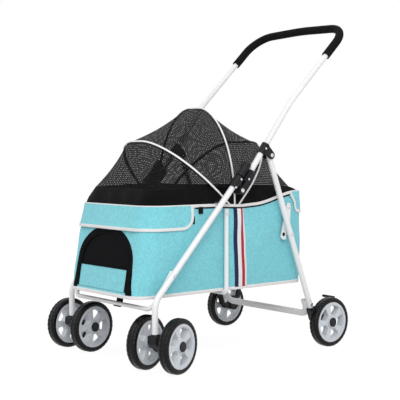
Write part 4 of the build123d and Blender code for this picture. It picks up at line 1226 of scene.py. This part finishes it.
@dataclass
class Door:
    """The zipped front door: an arch of net over a cloth panel, bound with black tape."""

    palette: Palette
    straight: float = 0.078
    rise: float = 0.164
    sill: float = 0.012
    corner: float = 0.003
    panel: float = 0.064
    tape: float = 0.024
    hem: float = 0.006
    gap: float = 0.0008
    fit: float = 0.0006
    near: float = 0.02
    net_lap: float = 0.004
    net_in: float = -0.0012
    bow: float = 0.0011
    cloth: float = 0.0018
    hem_thick: float = 0.0022
    hem_out: float = 0.0008
    seam: tuple[float, float] = (0.0016, 0.003)
    seam_out: float = 0.0009
    binding: float = 0.0012
    binding_grow: float = -0.0005
    binding_in: float = -0.0004
    half: float = field(init=False)
    origin: Array = field(init=False)
    up: Array = field(init=False)
    out: Array = field(init=False)

    def __post_init__(self) -> None:
        """Take the door's plane from the basket's front wall."""
        lean, floor = Basket.front_lean, Basket.floor_z
        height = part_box("basket")[1][2] - floor
        self.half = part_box("door_panel")[1][0] + self.fit
        self.up = unit(np.array([0.0, -lean, height]))
        self.out = np.array([0.0, -self.up[2], self.up[1]])
        self.origin = np.array([0.0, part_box("rim_rail")[0][1] + lean, floor]) + self.up * self.sill

    def at(self, x: Array, h: Array, proud: float) -> Array:
        """Points on the door's plane: across, up the wall and proud of it."""
        return self.origin + x[..., None] * ACROSS + h[..., None] * self.up + proud * self.out

    def crown(self, x: Array, inset: float = 0.0) -> Array:
        """Height of the arch: a straight side and a half ellipse, drawn in by an inset."""
        half = self.half - inset
        return self.straight + (self.rise - self.straight - inset) * np.sqrt(np.clip(1 - (x / half) ** 2, 0, 1))

    def cut(self, grid: Array) -> tuple[Array, Array]:
        """Cut the doorway out of the front wall.

        Cells wholly inside the arch go. Points of the cells that stay are moved out to the arch: up its ellipse,
        to its straight sides or down to its sill.

        Args:
            grid: the wall, rows by columns.

        Returns:
            The grid with moved points, and which cells stay.
        """
        away = grid - self.origin
        x, h = away[..., 0], away @ self.up
        front = np.abs(away @ self.out) < self.near
        arched = h > self.straight
        ratio = np.where(
            arched,
            np.hypot(x / self.half, (h - self.straight) / (self.rise - self.straight)),
            np.abs(x) / self.half,
        )
        inside = front & (ratio < 1) & (h > 0)
        to_side = self.half - np.abs(x)
        push = 1 / np.maximum(ratio, 1e-6)
        to_sill = h < to_side
        new_x = np.where(arched, x * push, np.where(to_sill, x, np.sign(x) * self.half))
        new_h = np.where(arched, self.straight + (h - self.straight) * push, np.where(to_sill, 0.0, h))
        moved = grid + (new_x - x)[..., None] * ACROSS + (new_h - h)[..., None] * self.up
        wrapped = np.concatenate((inside, inside[:, :1]), axis=1)
        gone = wrapped[:-1, :-1] & wrapped[1:, :-1] & wrapped[:-1, 1:] & wrapped[1:, 1:]
        return np.where(inside[..., None], moved, grid), ~gone

    def border(self, inset: float, count: int, foot: float = 0.002) -> Array:
        """Across and up points along the arch, from the left foot over the top to the right foot."""
        half = self.half - inset
        turn = np.linspace(0.0, math.pi, 90)
        x = np.concatenate(([half], half * np.cos(turn), [-half]))
        rise = self.rise - self.straight - inset
        h = np.concatenate(([foot], self.straight + rise * np.sin(turn), [foot]))
        return resample(np.stack((x, h), axis=1), count)

    def build(self) -> None:
        """Make the net, the panel, the tape, the seam and the doorway's binding."""
        spread = np.sin(np.linspace(-0.5, 0.5, 61) * math.pi)
        share = np.linspace(0.0, 1.0, 26)[:, None]
        inset = self.hem * 0.6
        self.net(spread, share, inset)
        self.lower_panel(spread, share)
        line = self.border(self.hem / 2 + self.gap, 180)
        path = self.at(line[:, 0], line[:, 1], self.hem_out)
        self.trim("door_tape", path, flat_section(self.hem_thick, self.hem), DOOR_TAPE, Body.DOOR)
        inner = self.half - inset
        path = self.at(np.linspace(-inner, inner, 40), np.full(40, self.panel), self.seam_out)
        self.trim("door_seam", path, flat_section(*self.seam), DOOR_TAPE, Body.DOOR)
        line = self.border(self.binding_grow, 180)
        path = self.at(line[:, 0], line[:, 1], self.binding_in)
        self.trim("doorway_binding", path, ring(self.binding, 8), WEBBING, Body.FRAME)

    def net(self, spread: Array, share: Array, inset: float) -> None:
        """The arch's net, from behind the panel's top to inside the tape.

        Args:
            spread: places across, from -1 to 1.
            share: shares of the way up, one row each.
            inset: how far inside the door's outline it ends.
        """
        x = (self.half - inset) * spread
        low = self.panel - self.net_lap
        h = low + (self.crown(x, inset) - low) * share
        grid = self.at(x + 0 * h, h, self.net_in)
        made = surface("door_net", grid, self.palette(DOOR_NET))
        ride(made, Body.DOOR)
        declare(grid)

    def lower_panel(self, spread: Array, share: Array) -> None:
        """The cloth panel under the net, slightly bowed, with round lower corners.

        Args:
            spread: places across, from -1 to 1.
            share: shares of the way up, one row each.
        """
        edge = self.half - self.gap
        x = edge * spread
        near = np.clip(np.abs(x) - (edge - self.corner), 0, self.corner)
        base = self.corner - np.sqrt(self.corner**2 - near**2) + self.gap
        h = base + (self.panel - base) * share
        bow = self.bow * np.sin(np.pi * share) * np.cos(0.5 * np.pi * spread)
        grid = self.at(x + 0 * h, h, 0.0) + bow[..., None] * self.out
        made = surface("door_cloth", grid, self.palette(CYAN_CANVAS))
        ride(thicken(made, self.cloth), Body.DOOR, "door_panel")
        declare(grid)

    def trim(self, name: str, path: Array, section: Array, finish: Any, body: Body) -> None:
        """A strip along a path on the door's plane."""
        ride(cord_piece(name, path, self.out, section, self.palette(finish)), body)


# The canopy


@dataclass(frozen=True)
class Hoop:
    """One hoop's tilt from straight back, height, and share of its leg and crown that is straight."""

    node: str
    angle: float
    height: float
    squared: float
    foot: float = 0.012

    def arch(self, pivot: tuple[float, float], grow: float, count: int = 400) -> Array:
        """Points along the hoop: a straight leg, a quarter ellipse, a straight crown and back down.

        Args:
            pivot: the pivots' y and z.
            grow: margin outwards.
            count: how many points.

        Returns:
            The points, from the left foot to the right.
        """
        half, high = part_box(self.node)[1][0] + grow, self.height + grow
        leg, crown = self.squared * self.height, self.squared * half
        turn = np.linspace(0.0, math.pi / 2, 120)
        x = np.concatenate(([half], crown + (half - crown) * np.cos(turn)))
        h = np.concatenate(([self.foot], leg + (high - leg) * np.sin(turn)))
        flat = resample(np.stack((np.concatenate((x, -x[::-1])), np.concatenate((h, h[::-1]))), axis=1), count)
        tilt = math.radians(self.angle)
        y, z = pivot[0] + flat[:, 1] * math.cos(tilt), pivot[1] + flat[:, 1] * math.sin(tilt)
        return np.stack((flat[:, 0], y, z), axis=1)

    @property
    def square_to(self) -> Array:
        """The direction square to the hoop's plane, towards the front."""
        return square_to(self.angle)


def square_to(angle: float) -> Array:
    """The direction square to a plane through the pivots, tilted by an angle in degrees."""
    tilt = math.radians(angle)
    return np.array([0.0, -math.sin(tilt), math.cos(tilt)])


FRONT_HOOP = Hoop("hoop_front", 136.7, 0.293, 0.10)
MIDDLE_HOOP = Hoop("hoop_middle", 90.4, 0.302, 0.08)
REAR_HOOP = Hoop("hoop_rear", 47.3, 0.277, 0.235)


@dataclass
class Canopy:
    """The net canopy: four panels between the collar and the hoops, with black tape under each hoop."""

    palette: Palette
    basket: Basket
    under: float = -0.0034
    tuck: float = 0.004
    tape: tuple[float, float] = (0.0014, 0.0085)
    tape_under: float = -0.0038
    tape_tuck: float = 0.003
    sag: float = 0.007
    end_sag: float = 0.004
    foot_gap: float = 0.004
    turn_reach: float = 0.168
    gathered: float = 0.25
    pivot: tuple[float, float] = field(init=False)

    def __post_init__(self) -> None:
        """Take the pivots' place from their solids."""
        low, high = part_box("hoop_pivots")
        self.pivot = ((low[1] + high[1]) / 2, (low[2] + high[2]) / 2)

    @property
    def centre(self) -> Array:
        """The point midway between the pivots."""
        return np.array([0.0, *self.pivot])

    def over_collar(self, hoop: Hoop, grow: float, tuck: float, count: int) -> Array:
        """The stretch of a hoop's arch that is above the collar.

        Args:
            hoop: the hoop.
            grow: margin outwards from its middle line.
            tuck: how far below the collar's edge it begins.
            count: how many points.

        Returns:
            The points, from left to right.
        """
        arch = hoop.arch(self.pivot, grow)
        above = arch[arch[:, 2] > self.basket.collar_z(arch[:, 1]) - tuck]
        return resample(above, count)

    def collar_run(self, start: Array, stop: Array, end: int, count: int) -> Array:
        """The collar's top edge round one end, from below a hoop's left foot to below its right.

        Args:
            start: the hoop's left foot.
            stop: the hoop's right foot.
            end: -1 for the front and 1 for the rear.
            count: how many points.

        Returns:
            The points.
        """
        edge = self.basket.collar_edge
        part = edge[(edge[:, 1] - start[1]) * end > self.foot_gap]
        order = np.argsort(np.arctan2(part[:, 0], (part[:, 1] - start[1]) * end))[::-1]
        return resample(np.concatenate((start[None], part[order], stop[None])), count)

    def panel(self, name: str, one: Array, two: Array, sag: float) -> tuple[bpy.types.Object, Array]:
        """A net panel: straight lines from one edge to the other, drawn in half way.

        Args:
            name: the piece's name.
            one: the rear edge, left to right.
            two: the front edge, left to right.
            sag: how far it is drawn in towards the cabin's middle.

        Returns:
            The piece and its grid.
        """
        share = np.linspace(0.0, 1.0, 26)[:, None, None]
        grid = one[None] * (1 - share) + two[None] * share
        inward = unit(self.centre - grid)
        ends = np.sin(np.linspace(0.0, math.pi, grid.shape[1]))[None, :, None] ** 0.5
        grid = grid + inward * sag * np.sin(np.pi * share) * ends
        made = surface(name, grid[:, ::-1], self.palette(CANOPY_NET))
        return made, grid

    def build(self) -> None:
        """Make the panels and tapes."""
        count = 120
        rear, middle, front = (
            self.over_collar(hoop, self.under, self.tuck, count) for hoop in (REAR_HOOP, MIDDLE_HOOP, FRONT_HOOP)
        )
        front_rim = self.collar_run(front[0], front[-1], -1, count)
        rear_rim = self.collar_run(rear[0], rear[-1], 1, count)
        plan = [
            ("net_front", front, front_rim, self.end_sag, "mesh_front"),
            ("net_top", middle, front, self.sag, "mesh_top"),
            ("net_back", rear, middle, self.sag, "mesh_back"),
            ("net_rear", rear_rim, rear, self.end_sag, "mesh_rear"),
        ]
        for name, one, two, sag, node in plan:
            made, grid = self.panel(name, one, two, sag)
            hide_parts(node)
            declare(grid)
            if name == "net_front":
                ride(made, Body.FRONT)
                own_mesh(made)
            elif name == "net_rear":
                ride(made, Body.FRAME)
            elif name == "net_top":
                self.hinge(made, MIDDLE_HOOP, FRONT_HOOP)
            else:
                self.hinge(made, REAR_HOOP, MIDDLE_HOOP)
        for hoop, body in ((REAR_HOOP, Body.FRAME), (MIDDLE_HOOP, Body.MIDDLE), (FRONT_HOOP, Body.FRONT)):
            self.binding(hoop, body)

    def hinge(self, made: bpy.types.Object, one: Hoop, two: Hoop) -> None:
        """Bake a panel between two hoops into place; the wedge's middle is worked out, but nothing lets the panel
        turn.
        """
        half = math.sin(math.radians((two.angle - one.angle) / 2)) * self.turn_reach
        across = square_to((one.angle + two.angle) / 2)
        centre = self.centre
        tuple(centre - across * half)
        tuple(centre + across * half)
        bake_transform(made)

    def binding(self, hoop: Hoop, body: Body) -> None:
        """Black tape on the net under a hoop."""
        path = self.over_collar(hoop, self.tape_under, self.tape_tuck, 130)
        outward = unit(path - self.centre)
        name = hoop.node.replace("hoop", "tape")
        ride(cord_piece(name, path, outward, flat_section(*self.tape), self.palette(WEBBING)), body)


# Tyres


@dataclass
class Tyres:
    """Six rubber tyres with shallow tread bars on their shoulders."""

    palette: Palette
    width: float = 0.030
    bead: float = 0.0607
    radius: float = 0.075
    lip: float = 0.001
    foot: float = 0.012
    bars: int = 34
    depth: float = 0.0013
    stagger: float = 1.2
    groove: tuple[float, float] = (0.003, 0.0011)
    groove_from: float = 0.01

    def build(self, frame: dict[str, Any]) -> None:
        """Turn each tyre about its own axle."""
        bodies = frame["record"]["behaviour"]["bodies"]
        for joint in frame["record"]["behaviour"]["joints"]:
            nodes = [n for n in bodies[joint["child"]] if n.endswith("_tyre")]
            if nodes:
                self.tyre(nodes[0], joint["child"], np.array(joint["pos_m"]), np.array(joint["axis"], float))

    def tyre(self, node: str, body: str, centre: Array, axis: Array) -> None:
        """One tyre: a squared half ellipse from bead to bead, spun round, with bars cut into its shoulders.

        Args:
            node: the CAD tyre.
            body: the wheel.
            centre: the wheel's middle.
            axis: the axle's direction.
        """
        section = np.linspace(0.0, math.pi, 34)
        across = np.concatenate((self.width / 2 * bulged(np.cos(section), 0.55), [-self.foot, self.foot]))
        low = self.bead + self.lip
        reach = np.concatenate((low + (self.radius - low) * bulged(np.sin(section), 0.62), [self.bead] * 2))
        around = np.linspace(0.0, TURN, 272, endpoint=False)
        wave = np.sin(self.bars * around[:, None] + np.sign(across)[None] * self.stagger)
        shoulder = ramp(np.abs(across), 0.0045, 0.003) * ramp(reach - self.bead, 0.0085, 0.003)
        cut = self.depth * ramp(wave, 0.55, 0.3) * shoulder[None]
        groove = self.depth * hump(np.abs(across), *self.groove) * (reach > self.bead + self.groove_from)
        radius = reach[None] - cut - groove[None]
        up = np.array([0.0, 0.0, 1.0])
        fore = np.cross(up, axis)
        spoke = np.cos(around)[:, None] * fore + np.sin(around)[:, None] * up
        grid = centre + radius[..., None] * spoke[:, None] + across[None, :, None] * axis
        grid = np.concatenate((grid, grid[:1]), axis=0)
        made = surface(node.replace("_tyre", "_tread"), grid, self.palette(TYRE_RUBBER), True)
        weld(made)
        ride(made, body, node)


# Fasteners


@dataclass
class Fasteners:
    """Rivet heads on the hinge mouldings, and black discs in the rear hooks' holes: painted shade for each hole's dark
    recess, partly a black plug.
    """

    palette: Palette
    rivet: tuple[float, float] = (0.0033, 0.0014)
    # radius and height of the black disc that paints the shade in a hook's hole, partly a plug
    plug_and_hole_shade: tuple[float, float] = (0.0058, 0.0010)
    rivets: tuple[tuple[str, float, float, float], ...] = (
        (Body.FRAME.value, 0.2184, -0.0815, 0.4915),
        (Body.FRAME.value, 0.2184, -0.0610, 0.5135),
        ("handle", 0.2178, -0.0310, 0.5135),
        ("handle", 0.2174, 0.0360, 0.6005),
    )
    hook: Point = (0.1912, 0.1335, 0.3465)
    pole: float = 0.02

    def build(self) -> None:
        """Make the heads, and the black discs of painted hole shade, on both sides."""
        for side, word in SIDES:
            for number, (body, x, y, z) in enumerate(self.rivets):
                ride(self.head(f"rivet_{word}_{number}", (x, y, z), side, self.rivet, PLATED), body)
            # A black disc in the hook's hole: painted shade for the hole's dark recess, partly a black plug.
            ride(self.head(f"hook_hole_shade_and_plug_{word}", self.hook, side, self.plug_and_hole_shade, BLACK_MOULDING), Body.FRAME)

    def head(
        self, name: str, place: Point, side: int, size: tuple[float, float], finish: Any
    ) -> bpy.types.Object:
        """A round head that faces sideways: a quarter ellipse turned about its axis, open at the back.

        Args:
            name: the piece's name.
            place: its middle on the left-hand face.
            side: 1 for the left and -1 for the right.
            size: radius and height.
            finish: its finish.

        Returns:
            The new object.
        """
        rise = np.linspace(-0.12, 0.25, 8)[:, None] * TURN
        turn = np.linspace(0.0, TURN, 24, endpoint=False)[None]
        across = size[0] * np.maximum(np.cos(rise), self.pole)
        grid = np.stack(
            (
                side * (place[0] + size[1] * np.sin(rise) + 0 * turn),
                place[1] + across * np.cos(turn),
                place[2] + across * np.sin(turn) * side,
            ),
            axis=-1,
        )
        return surface(name, grid, self.palette(finish), True)


# Studio


@dataclass
class Studio:
    """Pale floor, soft lights and the camera at the photograph's viewpoint."""

    eye: Point = (2.26627, -1.92092, 0.58274)
    azimuth: float = 50.18
    pitch: float = 2.64
    lens: float = 88.27
    sensor: float = 36.0
    lamps: tuple[tuple[str, Point, float, float], ...] = (
        # name, place, size, power
        ("key", (2.98, -2.2, 2.5), 3.0, 96.0),
        ("fill", (-2.8, -2.2, 2.2), 2.8, 18.0),
        ("top", (0.2, 1.4, 3.6), 2.6, 18.0),
    )
    aim: Point = (0.0, 0.0, 0.45)
    sky: float = 0.66
    floor_half: float = 9.0
    floor_glow: float = 1.16
    floor_shown: float = 0.80

    def build(self) -> None:
        """Make the floor, lights, world and camera."""
        self.floor()
        self.world()
        for name, place, size, power in self.lamps:
            self.lamp(name, place, size, power)
        self.camera()
        bpy.context.scene.view_settings.view_transform = "Standard"

    @staticmethod
    def shown(shader: Shader) -> Sock:
        """One for a ray that shows the backdrop: straight, mirrored or through something clear."""
        path = shader.node("ShaderNodeLightPath", output="Is Camera Ray")
        outputs = path.socket.node.outputs
        return path.larger(Sock(shader, outputs["Is Glossy Ray"])).larger(Sock(shader, outputs["Is Transmission Ray"]))

    def floor(self) -> None:
        """A wide pale floor under the wheels, near white where it is seen, with a faint shadow."""
        side = np.linspace(-self.floor_half, self.floor_half, 3)
        x, y = np.meshgrid(side, side)
        s = Shader("studio_floor")
        tint = s.mix(s.noise(2.0, 2.0), (0.66, 0.66, 0.665), (0.68, 0.68, 0.68))
        pale = s.node("ShaderNodeBsdfDiffuse", None, {"Color": tint})
        glow = s.node("ShaderNodeEmission", None, {"Color": (1.0, 1.0, 1.0), "Strength": self.floor_glow})
        both = s.node("ShaderNodeMixShader", None, {0: self.shown(s) * self.floor_shown, 1: pale, 2: glow})
        s.node("ShaderNodeOutputMaterial", None, {"Surface": both})
        made = surface("floor", np.stack((x, y, np.zeros_like(x)), axis=-1), s.material)

    def world(self) -> None:
        """White where it is seen and a soft even light on the object."""
        world = bpy.data.worlds.new("studio")
        bpy.context.scene.world = world
        world.use_nodes = True
        s = Shader.on(world.node_tree)
        strength = self.shown(s) * (1.0 - self.sky) + self.sky
        light = s.node("ShaderNodeBackground", None, {"Color": (1.0, 1.0, 1.0), "Strength": strength})
        s.node("ShaderNodeOutputWorld", None, {"Surface": light})

    def lamp(self, name: str, place: Point, size: float, power: float) -> None:
        """A soft square lamp that faces the stroller."""
        data = bpy.data.lights.new(name, "AREA")
        data.energy, data.size = power, size
        made = bpy.data.objects.new(name, data)
        bpy.context.collection.objects.link(made)
        made.location = place
        made.rotation_euler = (Vector(self.aim) - Vector(place)).to_track_quat("-Z", "Y").to_euler()

    def camera(self) -> None:
        """The camera, level but for a slight look down."""
        data = bpy.data.cameras.new("camera")
        data.lens, data.sensor_width = self.lens, self.sensor
        made = bpy.data.objects.new("camera", data)
        bpy.context.collection.objects.link(made)
        made.location = self.eye
        a, p = math.radians(self.azimuth), math.radians(self.pitch)
        ahead = Vector((-math.sin(a) * math.cos(p), math.cos(a) * math.cos(p), -math.sin(p)))
        made.rotation_euler = ahead.to_track_quat("-Z", "Y").to_euler()
        bpy.context.scene.camera = made


def dress(frame: dict[str, Any], palette: Palette) -> None:
    """Give every CAD node the finish of its slot; the push-on hub caps are black."""
    for part in frame["record"]["subparts"]:
        node = frame["nodes"][part["node"]]
        finish = BLACK_MOULDING if "axle" in part["node"] else SLOT_FINISH[part["material_slot"]]
        node.data.materials.clear()
        node.data.materials.append(palette(finish))


def main() -> None:
    """Build the classes in order."""
    logging.basicConfig(level=logging.INFO, format="%(message)s")
    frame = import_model()
    palette = Palette()
    dress(frame, palette)
    door = Door(palette)
    basket = Basket(palette)
    basket.build(door)
    door.build()
    Canopy(palette, basket).build()
    Tyres(palette).build(frame)
    Fasteners(palette).build()
    Studio().build()


if __name__ == "__main__":
    main()
